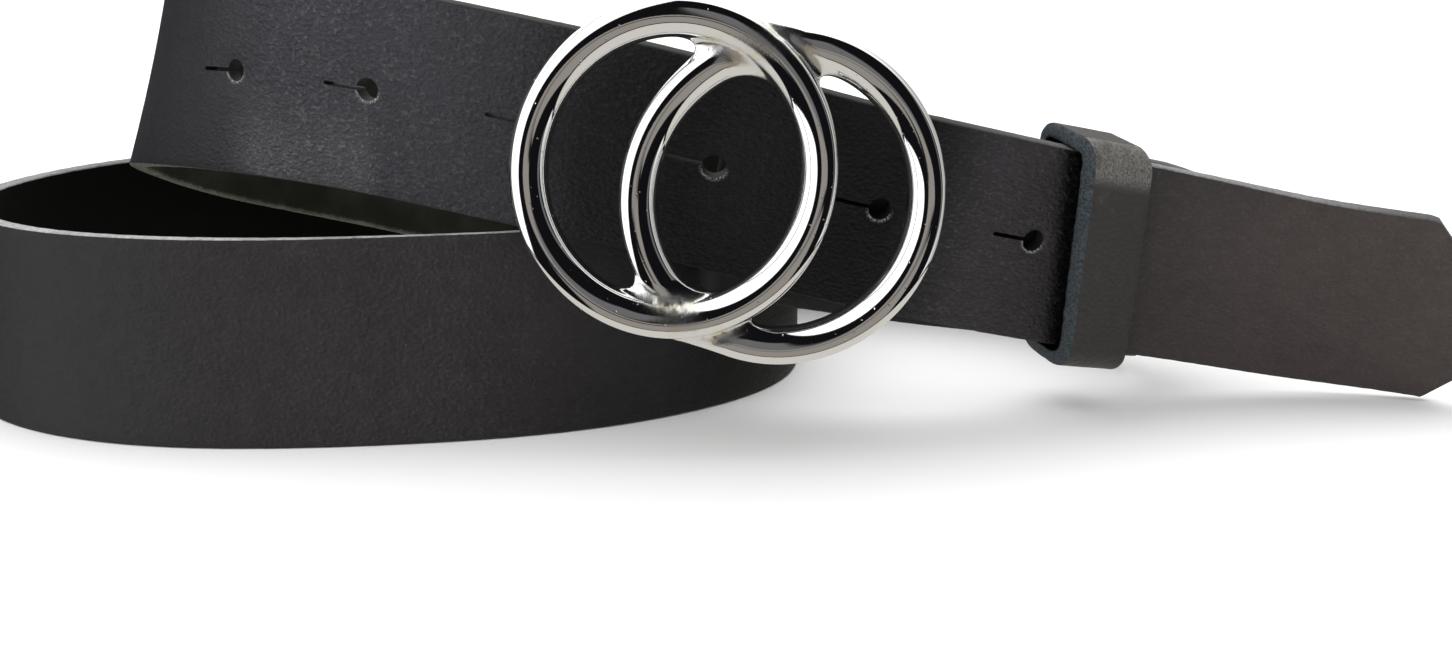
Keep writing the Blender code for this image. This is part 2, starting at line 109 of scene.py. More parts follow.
# Light
# A white tent, dimmer on the right and open towards the camera, where the room behind it is dark.
# Every boundary is set by the way a surface faces that mirrors it: how far to the left and up.
TENT_WHITE = (1.45, 1.45, 1.45, 1)
TENT_RIGHT = (0.48, 0.47, 0.44, 1)
BACKDROP_WHITE = (1.0, 1.0, 1.0, 1)
ROOM_BLACK = (0.006, 0.006, 0.007, 1)
ROOM_TAUPE = (0.30, 0.275, 0.25, 1)
TABLE_CREAM = (0.66, 0.64, 0.59, 1)
TO_CAMERA = Vector((0.0, -0.9846, 0.1747))
CAMERA_UP = Vector((0.0, 0.1747, 0.9846))
TO_LEFT = Vector((-1.0, 0.0, 0.0))
ROOM_LEFT = 0.19
ROOM_SLANT = 0.24
ROOM_HORIZON = -0.20
ROOM_SPREAD = 1.2
ROOM_EDGE = 0.61
TENT_DIM_FROM = -0.75
TENT_DIM_TO = -0.25
WALL_LEFT = 0.64
WALL_GREY = (0.09, 0.09, 0.095, 1)
POST_GREY = (0.15, 0.15, 0.155, 1)
POST_TOP = 0.10
STAND_TOP = -0.145
STAND_HALF = 0.085
STAND_SPREAD = 0.48
CREAM_BELOW = -0.40
HARD_EDGE = 0.01
SOFT_EDGE = 0.02
WIDE_EDGE = 0.04

# Upright and level strips in the room and on the tent: middle, half width and how soft the sides are
Strip = namedtuple("Strip", "middle half soft")
POST = Strip(-0.03, 0.040, 0.025)
SIDE_POST = Strip(-0.50, 0.020, 0.030)
SIDE_POST_HEIGHT = Strip(0.0, 0.30, 0.06)
TENT_POLE = Strip(0.47, 0.006, 0.008)
SHELF = Strip(STAND_TOP - 0.05, 0.006, 0.010)
TABLE_RIM = Strip(CREAM_BELOW, 0.008, 0.010)

PANEL_PLACE = (0.0, 0.70, 2.20)
PANEL_WIDTH = 6.0
PANEL_DEPTH = 5.0
PANEL_WATTS = 110.0


class Socket:
    """An output of a shader node. Expressions of it add Math nodes to the same tree."""

    def __init__(self, tree, link=None):
        self.tree = tree
        self.link = link

    def node(self, kind, settings=None, inputs=None, output=0):
        """An output of a new node, whose settings are made before its sockets are filled"""
        added = self.tree.nodes.new("ShaderNode" + kind)
        for name, value in (settings or {}).items():
            setattr(added, name, value)
        for name, value in (inputs or {}).items():
            if isinstance(value, Socket):
                self.tree.links.new(value.link, added.inputs[name])
            else:
                added.inputs[name].default_value = value
        return Socket(self.tree, added.outputs[output])

    def math(self, operation, *values):
        return self.node("Math", {"operation": operation}, dict(enumerate(values)))

    def __add__(self, other):
        return self.math("ADD", self, other)

    def __radd__(self, other):
        return self.math("ADD", other, self)

    def __sub__(self, other):
        return self.math("SUBTRACT", self, other)

    def __rsub__(self, other):
        return self.math("SUBTRACT", other, self)

    def __mul__(self, other):
        return self.math("MULTIPLY", self, other)

    def __rmul__(self, other):
        return self.math("MULTIPLY", other, self)

    def __truediv__(self, other):
        return self.math("DIVIDE", self, other)

    def __rtruediv__(self, other):
        return self.math("DIVIDE", other, self)

    def size(self):
        return self.math("ABSOLUTE", self)

    def above(self, low, high):
        """0 below low and 1 above high, with a smooth rise between them"""
        settings = {"interpolation_type": "SMOOTHSTEP"}
        return self.node("MapRange", settings, {"Value": self, "From Min": low, "From Max": high})

    def below(self, low, high):
        return 1 - self.above(low, high)

    def within(self, strip):
        """1 on the strip and 0 beside it"""
        return (self - strip.middle).size().below(strip.half, strip.half + strip.soft)

    def blend(self, first, second):
        """The first colour where this is 0 and the second where it is 1"""
        return self.node("Mix", {"data_type": "RGBA"}, {0: self, 6: first, 7: second}, output=2)

    def part(self, axis):
        return self.node("SeparateXYZ", None, {0: self}, output=axis)

    def vector(self, operation, other, output=0):
        return self.node("VectorMath", {"operation": operation}, {0: self, 1: other}, output)


def light_tent():
    world = bpy.data.worlds.new("tent")
    world.use_nodes = True
    bpy.context.scene.world = world
    start = Socket(world.node_tree)
    direction = start.node("TexCoord")
    facing = direction.vector("ADD", TO_CAMERA).vector("NORMALIZE", (0, 0, 0))
    left = facing.vector("DOT_PRODUCT", TO_LEFT, output=1)
    up = facing.vector("DOT_PRODUCT", CAMERA_UP, output=1)
    tilt = start.math("SQRT", left * left + up * up)
    low = start.math("MAXIMUM", ROOM_HORIZON - up, 0.0)
    border = ROOM_LEFT - up * ROOM_SLANT + low * ROOM_SPREAD
    room = (left - border).below(-SOFT_EDGE, 0.0) * tilt.below(ROOM_EDGE - SOFT_EDGE, ROOM_EDGE)
    # A taupe stand in the room widens downwards and has a dark shelf across it
    width = start.math("MAXIMUM", STAND_TOP - up, 0.0) * STAND_SPREAD + STAND_HALF
    stand = ((left - POST.middle).size() - width).below(-HARD_EDGE, HARD_EDGE)
    stand = stand * up.below(STAND_TOP - HARD_EDGE, STAND_TOP) * (1 - up.within(SHELF))
    # A grey post stands behind it, and another further to the right
    post = left.within(POST) * up.below(POST_TOP, POST_TOP + WIDE_EDGE)
    post = start.math("MAXIMUM", post, left.within(SIDE_POST) * up.within(SIDE_POST_HEIGHT))
    inside = stand.blend(post.blend(ROOM_BLACK, POST_GREY), ROOM_TAUPE)
    lit = left.above(TENT_DIM_FROM, TENT_DIM_TO).blend(TENT_RIGHT, TENT_WHITE)
    # Far to the left the tent ends at a dark wall, and a thin dark pole stands before that
    lit = left.above(WALL_LEFT, WALL_LEFT + WIDE_EDGE).blend(lit, WALL_GREY)
    lit = left.within(TENT_POLE).blend(lit, WALL_GREY)
    colour = room.blend(lit, inside)
    # Low down the table's cream cloth shows under its dark rim
    colour = up.below(CREAM_BELOW - SOFT_EDGE, CREAM_BELOW).blend(colour, TABLE_CREAM)
    colour = up.within(TABLE_RIM).blend(colour, ROOM_BLACK)
    # The camera itself sees a plain white backdrop
    colour = start.node("LightPath").blend(colour, BACKDROP_WHITE)
    start.tree.links.new(colour.link, start.tree.nodes["Background"].inputs["Color"])


def hang_panel():
    """A soft panel overhead that faces straight down"""
    data = bpy.data.lights.new("top_panel", "AREA")
    data.shape = "RECTANGLE"
    data.size = PANEL_WIDTH
    data.size_y = PANEL_DEPTH
    data.energy = PANEL_WATTS
    panel = add_object("top_panel", data)
    panel.location = PANEL_PLACE
    panel.visible_glossy = False


light_tent()
hang_panel()
view = bpy.context.scene.view_settings
view.view_transform = "Standard"
view.look = "None"
view.exposure = 0.0

# Strap
# One length of black full-grain leather, cut square at the edges and clipped at the free end, with
# six keyholes punched in it. Its other end runs behind the free end and is folded round the bar.
STRAP_WIDTH = 0.035
STRAP_THICKNESS = 0.003
GAP = 0.0003
HOLE_DIAMETER = 0.0039
SLIT_WIDTH = 0.0007
BAR_DIAMETER = 0.0024
HOLE_COUNT = 6
FIRST_HOLE = 2.775
HOLE_SPACING = 0.807
HOLE_PLACES = [(FIRST_HOLE + index * HOLE_SPACING) * STRAP_WIDTH for index in range(HOLE_COUNT)]
HOLE_LINE = 0.517
SLIT_LENGTH = 0.23
LOW_CORNER = 0.29
HIGH_CORNER = 0.46
BUCKLE_PLACE = 4.311
BAR_PLACE = 0.12
KEEPER_PLACE = 2.395
KEEPER_LENGTH = 0.395
KEEPER_SKEW = 17.0
LAYER_START = 2.08
LAYER_SINK = 0.090
LAYER_SPREAD = 0.016
FLAP_LENGTH = 0.75

# The strap's route from its free end: length and rise as shares of the strap's width, the turn to
# the right and the outward lean of the top edge at the stretch's end in degrees
Stretch = namedtuple("Stretch", "name length turn rise lean")
ROUTE = (
    Stretch("free end", 1.165, -23.1, 0.132, 11.0),
    Stretch("towards the keeper", 1.038, -19.0, 0.203, 9.5),
    Stretch("keeper", 1.272, 15.1, 0.303, 10.5),
    Stretch("right of the buckle", 1.378, 11.7, 0.343, 8.5),
    Stretch("buckle", 1.315, 19.5, 0.184, 0.5),
    Stretch("left of the buckle", 1.048, 15.7, -0.011, -11.5),
    Stretch("rising into the coil", 0.795, 33.0, -0.111, -19.0),
    Stretch("coil", 1.042, 67.7, -0.364, -6.5),
    Stretch("coil ends", 1.385, 43.7, -0.354, 1.0),
    Stretch("behind", 1.572, 26.9, -0.225, 0.0),
    Stretch("inner run", 0.950, 40.1, -0.075, -1.5),
    Stretch("right turn", 1.030, 55.8, -0.025, 0.0),
    Stretch("right turn ends", 1.342, 35.1, 0.000, -9.5),
    Stretch("front right", 1.718, 23.9, 0.000, -5.5),
    Stretch("front", 1.025, 33.6, 0.000, -4.0),
    Stretch("front left", 0.948, 45.9, 0.000, -2.0),
    Stretch("left turn", 1.528, 49.3, 0.000, -3.0),
    Stretch("back left", 1.595, 41.2, 0.000, 0.0),
    Stretch("back right", 2.200, 22.0, 0.000, 0.0),
    Stretch("far right", 1.900, 14.0, 0.000, 0.0),
)
START_HEADING = 160.6
START_LEAN = 12.0
FRONT_STRETCH = "front right"
BEND_REACH = 0.52
BEND_LENGTH = 2.2 * BEND_REACH * STRAP_WIDTH
FLAP_CLOSES = 0.35
WRAP_RADIUS = BAR_DIAMETER / 2 + GAP + STRAP_THICKNESS / 2
STEP = 0.0005

# The dressed strap's mesh: cells along and across it, closer together round the holes, and the
# radius of its cut edges on the grain and on the flesh side. The edges are a little ragged, and the
# punch has pressed the grain down round each hole.
CELL_ALONG = 0.0016
CELL_ACROSS = 0.0020
HOLE_CELL = 0.00045
HOLE_FIELD = 0.0036
GRAIN_ROUND = 0.00036
FLESH_ROUND = 0.00045
EDGE_TURNS = (15, 40, 65)
EDGE_BAND = 1.5 * GRAIN_ROUND
HOLE_CORNERS = 33
SLIT_CORNERS = 5
RAGGED_FINE = 0.00003
RAGGED_FINE_SIZE = 0.0025
RAGGED_LONG = 0.00008
RAGGED_LONG_SIZE = 0.05
DIMPLE_DEPTH = 0.00035
DIMPLE_REACH = 0.0009
SIDE_LIMIT = 0.8
SHARP_ANGLE = math.radians(40)

# The wear and painted light at places in strap widths from the free end: how faded the grain side is,
# a number that also paints shade, darkest in the rings, beside the keeper and along the front band's
# right; how pebbly it is; how pale its top cut edge, pale fibre that also stands for a painted
# highlight; and how raw the flesh and the bottom edge
WearAndLight = namedtuple("WearAndLight", "place faded pebbly edge raw")
WEAR_AND_LIGHT = (
    WearAndLight(0.0, 0.95, 0.70, 0.10, 0.0),
    WearAndLight(0.9, 0.92, 0.70, 0.25, 0.0),
    WearAndLight(1.3, 0.90, 0.70, 0.42, 0.0),
    WearAndLight(2.1, 0.74, 0.75, 0.48, 0.0),
    WearAndLight(2.5, 0.50, 0.90, 0.30, 0.0),
    WearAndLight(3.1, 0.75, 1.60, 0.10, 0.0),
    WearAndLight(3.5, 0.03, 1.50, 0.00, 0.0),
    WearAndLight(4.2, 0.13, 1.60, 0.00, 0.0),
    WearAndLight(4.9, 0.20, 1.60, 0.00, 0.0),
    WearAndLight(5.3, 0.60, 1.10, 0.00, 0.0),
    WearAndLight(5.8, 0.84, 1.70, 0.00, 0.0),
    WearAndLight(6.4, 0.95, 2.50, 0.00, 0.0),
    WearAndLight(6.7, 0.70, 1.10, 0.00, 0.0),
    WearAndLight(7.1, 0.42, 0.35, 0.10, 0.3),
    WearAndLight(7.5, 0.30, 0.25, 0.10, 1.0),
    WearAndLight(10.5, 0.20, 0.25, 0.10, 1.0),
    WearAndLight(11.5, 0.10, 0.25, 0.60, 0.0),
    WearAndLight(14.5, 0.02, 0.20, 0.85, 0.0),
    WearAndLight(14.9, 0.40, 0.35, 0.95, 0.0),
    WearAndLight(15.9, 0.64, 0.95, 0.95, 0.0),
    WearAndLight(16.9, 0.58, 0.50, 0.95, 0.0),
    WearAndLight(17.7, 0.36, 0.20, 0.95, 0.0),
    WearAndLight(21.0, 0.30, 0.25, 0.30, 0.0),
    WearAndLight(23.0, 0.30, 0.25, 0.20, 0.0),
)
BEND_SAG = 0.0016


def smooth_through(places, knots, values):
    """Values at the places on a smooth curve through the knots"""
    spans = np.diff(knots)
    slopes = np.diff(values) / spans
    tangents = np.empty(len(knots))
    tangents[0] = slopes[0]
    tangents[-1] = slopes[-1]
    tangents[1:-1] = (slopes[:-1] * spans[1:] + slopes[1:] * spans[:-1]) / (spans[:-1] + spans[1:])
    index = np.clip(np.searchsorted(knots, places, side="right") - 1, 0, len(spans) - 1)
    share = (places - knots[index]) / spans[index]
    span = spans[index]
    start = (2 * share**3 - 3 * share**2 + 1) * values[index]
    start_pull = (share**3 - 2 * share**2 + share) * span * tangents[index]
    end = (3 * share**2 - 2 * share**3) * values[index + 1]
    end_pull = (share**3 - share**2) * span * tangents[index + 1]
    return start + start_pull + end + end_pull


def unit(vectors):
    return vectors / np.linalg.norm(vectors, axis=-1, keepdims=True)


def eased(share):
    """A share from 0 to 1 with a slow start and a slow end"""
    return share * share * (3 - 2 * share)


class Route:
    """A strap's bottom edge at mid thickness, with its directions along, across and outwards"""

    def __init__(self, base, across):
        self.base = base
        self.along = unit(np.gradient(base, axis=0))
        overlap = (across * self.along).sum(axis=1, keepdims=True)
        self.across = unit(across - overlap * self.along)
        self.out = np.cross(self.across, self.along)
        steps = np.linalg.norm(np.diff(base, axis=0), axis=1)
        self.distance = np.concatenate([[0.0], np.cumsum(steps)])
        self.length = self.distance[-1]

    def sample(self, values, distance):
        columns = [np.interp(distance, self.distance, values[:, axis]) for axis in range(3)]
        return np.stack(columns, axis=-1)

    def place(self, distance, height, outwards):
        """Points of the strap at a distance from the free end, a height across and a depth"""
        base = self.sample(self.base, distance)
        across = unit(self.sample(self.across, distance))
        out = unit(self.sample(self.out, distance))
        points = base + np.expand_dims(height, -1) * across + np.expand_dims(outwards, -1) * out
        lying = base[..., 2] < GAP
        points[..., 2] = np.where(lying, np.maximum(points[..., 2], 0.0), points[..., 2])
        return points

    def axes(self, distance):
        """Mid-strap point and the three directions there, as vectors"""
        base = self.sample(self.base, distance)
        along = unit(self.sample(self.along, distance))
        across = unit(self.sample(self.across, distance))
        out = unit(self.sample(self.out, distance))
        centre = base + across * STRAP_WIDTH / 2
        return Vector(centre), Vector(along), Vector(across), Vector(out)


def summed(name):
    return np.concatenate([[0.0], np.cumsum([getattr(stretch, name) for stretch in ROUTE])])


def spiral_route():
    """The route from the free end to the far side"""
    knots = summed("length") * STRAP_WIDTH
    leans = np.array([START_LEAN] + [stretch.lean for stretch in ROUTE])
    places = np.arange(0.0, knots[-1], STEP)
    heading = np.radians(smooth_through(places, knots, START_HEADING - summed("turn")))
    lean = np.radians(smooth_through(places, knots, leans))[:, None]
    height = np.maximum(smooth_through(places, knots, summed("rise") * STRAP_WIDTH), 0.0)
    flat = np.stack([np.cos(heading), np.sin(heading)], axis=-1) * STEP
    base = np.zeros((len(places), 3))
    base[1:, :2] = np.cumsum((flat[1:] + flat[:-1]) / 2, axis=0)
    base[:, 2] = height
    side = np.stack([-np.sin(heading), np.cos(heading), np.zeros(len(places))], axis=-1)
    upright = np.cross(unit(np.gradient(base, axis=0)), side)
    across = np.cos(lean) * upright + np.sin(lean) * side
    front = [stretch.name for stretch in ROUTE].index(FRONT_STRETCH)
    base[:, :2] -= [np.interp(knots[front], places, base[:, axis]) for axis in range(2)]
    return Route(base, across)


def second_layer(spiral):
    """The other end's stretch behind the free end, from right of the keeper to the buckle's bar"""
    bar = (BUCKLE_PLACE - BAR_PLACE) * STRAP_WIDTH
    distance = np.arange(LAYER_START * STRAP_WIDTH, bar, STEP)
    run = distance - distance[0]
    across = unit(spiral.sample(spiral.across, distance))
    out = unit(spiral.sample(spiral.out, distance))
    behind = STRAP_THICKNESS + 2 * GAP + LAYER_SPREAD * run
    sink = LAYER_SINK * np.maximum(distance - KEEPER_PLACE * STRAP_WIDTH, 0.0)
    base = spiral.sample(spiral.base, distance) - out * behind[:, None] - across * sink[:, None]
    return Route(base, across)


def hidden_bend(spiral, layer):
    """The bend from the far side back to the layer behind the free end, as one cubic curve"""
    reach = BEND_REACH * STRAP_WIDTH
    points = (
        spiral.base[-1],
        spiral.base[-1] + spiral.along[-1] * reach,
        layer.base[0] - layer.along[0] * reach,
        layer.base[0],
    )
    count = int(BEND_LENGTH / STEP)
    share = (np.arange(1, count) / count)[:, None]
    weights = ((1 - share) ** 3, 3 * share * (1 - share) ** 2, 3 * share**2 * (1 - share), share**3)
    base = sum(weight * point for weight, point in zip(weights, points))
    base[:, 2] -= BEND_SAG * np.sin(math.pi * share[:, 0])
    blend = eased(share)
    across = unit(spiral.across[-1] * (1 - blend) + layer.across[0] * blend)
    return base, across


def wrap_and_flap(layer):
    """The stretch that turns round the bar and lies back along the layer"""
    along = layer.along[-1]
    across = layer.across[-1]
    out = layer.out[-1]
    bar = layer.base[-1] - out * WRAP_RADIUS
    angle = np.arange(STEP / WRAP_RADIUS, math.pi, STEP / WRAP_RADIUS)[:, None]
    wrap = bar + WRAP_RADIUS * (out * np.cos(angle) + along * np.sin(angle))
    back = np.arange(STEP, FLAP_LENGTH * STRAP_WIDTH, STEP)
    mirrored = layer.length - back
    followed = layer.sample(layer.base, mirrored)
    follow_out = unit(layer.sample(layer.out, mirrored))
    closing = eased(np.clip(back / (FLAP_CLOSES * STRAP_WIDTH), 0.0, 1.0))
    behind = 2 * WRAP_RADIUS * (1 - closing) + (STRAP_THICKNESS + GAP) * closing
    flap = followed - follow_out * behind[:, None]
    flap_across = unit(layer.sample(layer.across, mirrored))
    base = np.concatenate([wrap, flap])
    return base, np.concatenate([np.tile(across, (len(wrap), 1)), flap_across])


def whole_route(spiral, layer):
    bend, bend_across = hidden_bend(spiral, layer)
    end, end_across = wrap_and_flap(layer)
    base = np.concatenate([spiral.base, bend, layer.base, end])
    across = np.concatenate([spiral.across, bend_across, layer.across, end_across])
    return Route(base, across)


def spaced(low, high, cell, fields, fine):
    """Places from low to high a cell apart, and closer together in the fields"""
    places = [low]
    while places[-1] < high:
        near = any(start < places[-1] + fine < end for start, end in fields)
        places.append(places[-1] + (fine if near else cell))
    places[-1] = high
    if high - places[-2] < fine / 2:
        places.pop(-2)
    return np.array(places)


def edge_profile():
    """The cut edge from the flesh side to the grain side: how far in it lies, and its height"""
    half = STRAP_THICKNESS / 2
    turns = np.radians(EDGE_TURNS)
    grain = [(GRAIN_ROUND * (1 - math.cos(t)), half - GRAIN_ROUND * (1 - math.sin(t))) for t in turns]
    flesh = [(FLESH_ROUND * (1 - math.cos(t)), FLESH_ROUND * (1 - math.sin(t)) - half) for t in turns]
    middle = [(0.0, share * half) for share in (-0.6, -0.2, 0.2)]
    return flesh[::-1] + middle + grain


def lay_out_strap(route):
    """The strap laid flat as a closed mesh: X across it, Y along it from the free end, Z outwards"""
    hole_fields = [(place - HOLE_FIELD, place + HOLE_FIELD) for place in HOLE_PLACES]
    tip_field = (-HOLE_CELL, max(LOW_CORNER, HIGH_CORNER) * STRAP_WIDTH)
    places = spaced(0.0, route.length, CELL_ALONG, hole_fields + [tip_field], HOLE_CELL)
    line = HOLE_LINE * STRAP_WIDTH
    line_field = [(line - HOLE_FIELD, line + HOLE_FIELD)]
    columns = spaced(GRAIN_ROUND, STRAP_WIDTH - GRAIN_ROUND, CELL_ACROSS, line_field, HOLE_CELL)
    shares = (columns - columns[0]) / (columns[-1] - columns[0])
    half = STRAP_THICKNESS / 2
    edge = edge_profile()
    bm = bmesh.new()
    rings = []
    for place in places:
        low = max(LOW_CORNER * STRAP_WIDTH - place, 0.0)
        high = STRAP_WIDTH - max(HIGH_CORNER * STRAP_WIDTH - place, 0.0)
        grain = [(low + GRAIN_ROUND + share * (high - low - 2 * GRAIN_ROUND), half) for share in shares]
        flesh = [(x, -half) for x, _ in grain[::-1]]
        profile = [(low + inset, z) for inset, z in edge] + grain
        profile += [(high - inset, z) for inset, z in edge[::-1]] + flesh
        rings.append([bm.verts.new((x, place, z)) for x, z in profile])
    for first, second in zip(rings[:-1], rings[1:]):
        for index in range(len(first)):
            after = (index + 1) % len(first)
            bm.faces.new((first[index], first[after], second[after], second[index]))
    bm.faces.new(rings[0])
    bm.faces.new(rings[-1])
    return settled_mesh("strap_skin", bm)


def settled_mesh(name, bm):
    """A mesh from the bmesh, with its normals turned outwards"""
    bmesh.ops.recalc_face_normals(bm, faces=bm.faces)
    mesh = bpy.data.meshes.new(name)
    bm.to_mesh(mesh)
    bm.free()
    return mesh


def keyhole_punch(centre):
    """A cutter with the outline of a round hole and the slit that leads away from the free end"""
    radius = HOLE_DIAMETER / 2
    half = SLIT_WIDTH / 2
    height = HOLE_LINE * STRAP_WIDTH
    opening = math.asin(half / radius)
    outline = []
    for angle in np.linspace(opening, 2 * math.pi - opening, HOLE_CORNERS):
        outline.append((height - radius * math.sin(angle), centre + radius * math.cos(angle)))
    slit_end = centre + SLIT_LENGTH * STRAP_WIDTH
    for angle in np.linspace(0, math.pi, SLIT_CORNERS):
        outline.append((height + half * math.cos(angle), slit_end + half * (math.sin(angle) - 1)))
    bm = bmesh.new()
    face = bm.faces.new([bm.verts.new((x, y, -STRAP_THICKNESS)) for x, y in outline])
    moved = bmesh.ops.extrude_face_region(bm, geom=[face])["geom"]
    verts = [item for item in moved if isinstance(item, bmesh.types.BMVert)]
    bmesh.ops.translate(bm, verts=verts, vec=(0, 0, 2 * STRAP_THICKNESS))
    return add_object("keyhole_punch", settled_mesh("keyhole_punch", bm))


def punch_holes(strap):
    punches = [keyhole_punch(place) for place in HOLE_PLACES]
    for punch in punches:
        modifier = strap.modifiers.new(punch.name, "BOOLEAN")
        modifier.operation = "DIFFERENCE"
        modifier.solver = "EXACT"
        modifier.object = punch
    bpy.context.view_layer.update()
    cut = strap.evaluated_get(bpy.context.evaluated_depsgraph_get())
    mesh = bpy.data.meshes.new_from_object(cut)
    strap.modifiers.clear()
    strap.data = mesh
    for punch in punches:
        bpy.data.objects.remove(punch)


WAVE_TRAINS = 7
WAVE_SCALE = 1.6


def waves(points, size, seed, octaves=3):
    """Smooth random heights between about -1 and 1 over points, with features of the given size"""
    draw = np.random.default_rng(seed)
    total = np.zeros(len(points))
    for octave in range(octaves):
        for _ in range(WAVE_TRAINS):
            direction = draw.normal(size=points.shape[1])
            direction *= 2 * math.pi * 2**octave / (size * np.linalg.norm(direction))
            total += np.sin(points @ direction + draw.uniform(0, 2 * math.pi)) / 2**octave
    return total / (WAVE_TRAINS**0.5 * WAVE_SCALE)


def read_points(mesh):
    points = np.empty(len(mesh.vertices) * 3)
    mesh.vertices.foreach_get("co", points)
    return points.reshape(-1, 3)


def write_points(mesh, points):
    mesh.vertices.foreach_set("co", points.ravel())
    mesh.update()


def keep_on_points(mesh, name, values):
    """Store a vector or a number for each point of the mesh, for its material to read"""
    if values.ndim == 2:
        mesh.attributes.new(name, "FLOAT_VECTOR", "POINT").data.foreach_set("vector", values.ravel())
    else:
        mesh.attributes.new(name, "FLOAT", "POINT").data.foreach_set("value", values)


def sort_faces(mesh):
    """Give the grain side material 0, the flesh side 1 and the cut edges 2, by the way they face"""
    normals = np.empty(len(mesh.polygons) * 3)
    mesh.polygons.foreach_get("normal", normals)
    upward = normals.reshape(-1, 3)[:, 2]
    kinds = np.full(len(mesh.polygons), 2)
    kinds[upward > SIDE_LIMIT] = 0
    kinds[upward < -SIDE_LIMIT] = 1
    mesh.polygons.foreach_set("material_index", kinds)


def wear_light_and_bend(strap, route):
    """Store the wear and painted light, roughen the cut edges, sink the hole rims and bend the strap
    along its route
    """
    mesh = strap.data
    sort_faces(mesh)
    flat = read_points(mesh)
    keep_on_points(mesh, "laid_flat", flat)
    widths = flat[:, 1] / STRAP_WIDTH
    places, *columns = zip(*WEAR_AND_LIGHT)
    for name, column in zip(WearAndLight._fields[1:], columns):
        keep_on_points(mesh, name, np.interp(widths, places, column))
    worn = flat.copy()
    from_edge = np.minimum(flat[:, 0], STRAP_WIDTH - flat[:, 0])
    ragged = waves(flat[:, 1:], RAGGED_FINE_SIZE, 3) * RAGGED_FINE
    ragged = ragged + waves(flat[:, 1:2], RAGGED_LONG_SIZE, 4, 1) * RAGGED_LONG
    worn[:, 0] += (from_edge < EDGE_BAND) * ragged
    hole = ((widths - FIRST_HOLE) / HOLE_SPACING).round().clip(0, HOLE_COUNT - 1)
    centre = (FIRST_HOLE + hole * HOLE_SPACING) * STRAP_WIDTH
    away = np.hypot(flat[:, 1] - centre, flat[:, 0] - HOLE_LINE * STRAP_WIDTH) - HOLE_DIAMETER / 2
    dimple = DIMPLE_DEPTH * np.exp(-((np.maximum(away, 0) / DIMPLE_REACH) ** 2))
    worn[:, 2] -= dimple * (flat[:, 2] > 0)
    write_points(mesh, route.place(worn[:, 1], worn[:, 0], worn[:, 2]))


def new_shader(name):
    """A new material, its Principled shader and a start for its expressions"""
    material = bpy.data.materials.new(name)
    material.use_nodes = True
    return material, material.node_tree.nodes["Principled BSDF"], Socket(material.node_tree)


def feed(shader, name, value):
    """Set a socket of the shader to a number or colour, or link it"""
    if isinstance(value, Socket):
        value.tree.links.new(value.link, shader.inputs[name])
    else:
        shader.inputs[name].default_value = value


def stored(start, name, output=1):
    """What keep_on_points stored: a vector at output 1, a number at output 2"""
    return start.node("Attribute", {"attribute_name": name}, None, output)


def speckle(place, scale, detail=2.0, roughness=0.5):
    """Noise between 0 and 1 with the given number of features to the metre"""
    inputs = {"Vector": place, "Scale": scale, "Detail": detail, "Roughness": roughness}
    return place.node("TexNoise", None, inputs)


def pebbles(place, scale, smoothness=0.4):
    """Rounded cells like leather grain, 0 at their middles and 1 at the creases"""
    inputs = {"Vector": place, "Scale": scale, "Smoothness": smoothness}
    return place.node("TexVoronoi", {"feature": "SMOOTH_F1"}, inputs)


def bump(height, strength, distance):
    inputs = {"Strength": strength, "Distance": distance, "Height": height}
    return height.node("Bump", None, inputs)


def stretched(place, along, across):
    """The place scaled so that features lie along the strap"""
    return place.vector("MULTIPLY", (across, along, 1.0))


def from_nearest_hole(flat):
    """Distance in metres from the nearest hole's centre, and the height above its line"""
    spacing = HOLE_SPACING * STRAP_WIDTH
    steps = (flat.part(1) - FIRST_HOLE * STRAP_WIDTH) / spacing
    rounded = flat.math("ROUND", steps)
    nearest = flat.math("MINIMUM", flat.math("MAXIMUM", rounded, 0.0), HOLE_COUNT - 1)
    along = (steps - nearest) * spacing
    up = flat.part(0) - HOLE_LINE * STRAP_WIDTH
    return flat.math("SQRT", along * along + up * up), up


GRAIN_BLACK = (0.0026, 0.0026, 0.0028, 1)
GRAIN_WARM = (0.0625, 0.0500, 0.0475, 1)
GRAIN_COOL = (0.0440, 0.0430, 0.0520, 1)
GRAIN_BROWN = (0.0490, 0.0440, 0.0470, 1)
# The scuff colour also paints the glints on the pebbles and the painted shine
GRAIN_SCUFF_AND_GLINT = (0.1300, 0.1250, 0.1300, 1)
GRAIN_SHEEN = 0.26
FLESH_DARK = (0.0045, 0.0045, 0.0036, 1)
FLESH_RAW = (0.0370, 0.0370, 0.0290, 1)
EDGE_DARK = (0.022, 0.022, 0.021, 1)
# The top edge's pale fibre colour, made pale enough to stand for a painted highlight too
EDGE_FIBRE_AND_HIGHLIGHT = (0.50, 0.505, 0.51, 1)
EDGE_RAW = (0.25, 0.25, 0.205, 1)
RIM_FIBRE = (0.34, 0.34, 0.33, 1)
RIM_WIDTH = 0.0007
RIM_LOW = -0.0014
RIM_HIGH = 0.0006
KEEPER_SLOPE = math.tan(math.radians(KEEPER_SKEW))
# How wide the painted shadow beside the keeper is, and where it starts
KEEPER_SHADOW = 0.0035
KEEPER_SHADOW_START = (KEEPER_PLACE + (KEEPER_LENGTH - KEEPER_SLOPE) / 2) * STRAP_WIDTH
# Where the painted shine lies along the strap, and how high it reaches above the lower edge
SHINE_FROM = 0.212
SHINE_TO = 0.243
SHINE_HEIGHT = 0.018
WARM_UNTIL = 0.04
COOL_FROM = 0.15
COOL_UNTIL = 0.50
BROWN_FROM = 0.54
FRINGE_LENGTH = 0.0012


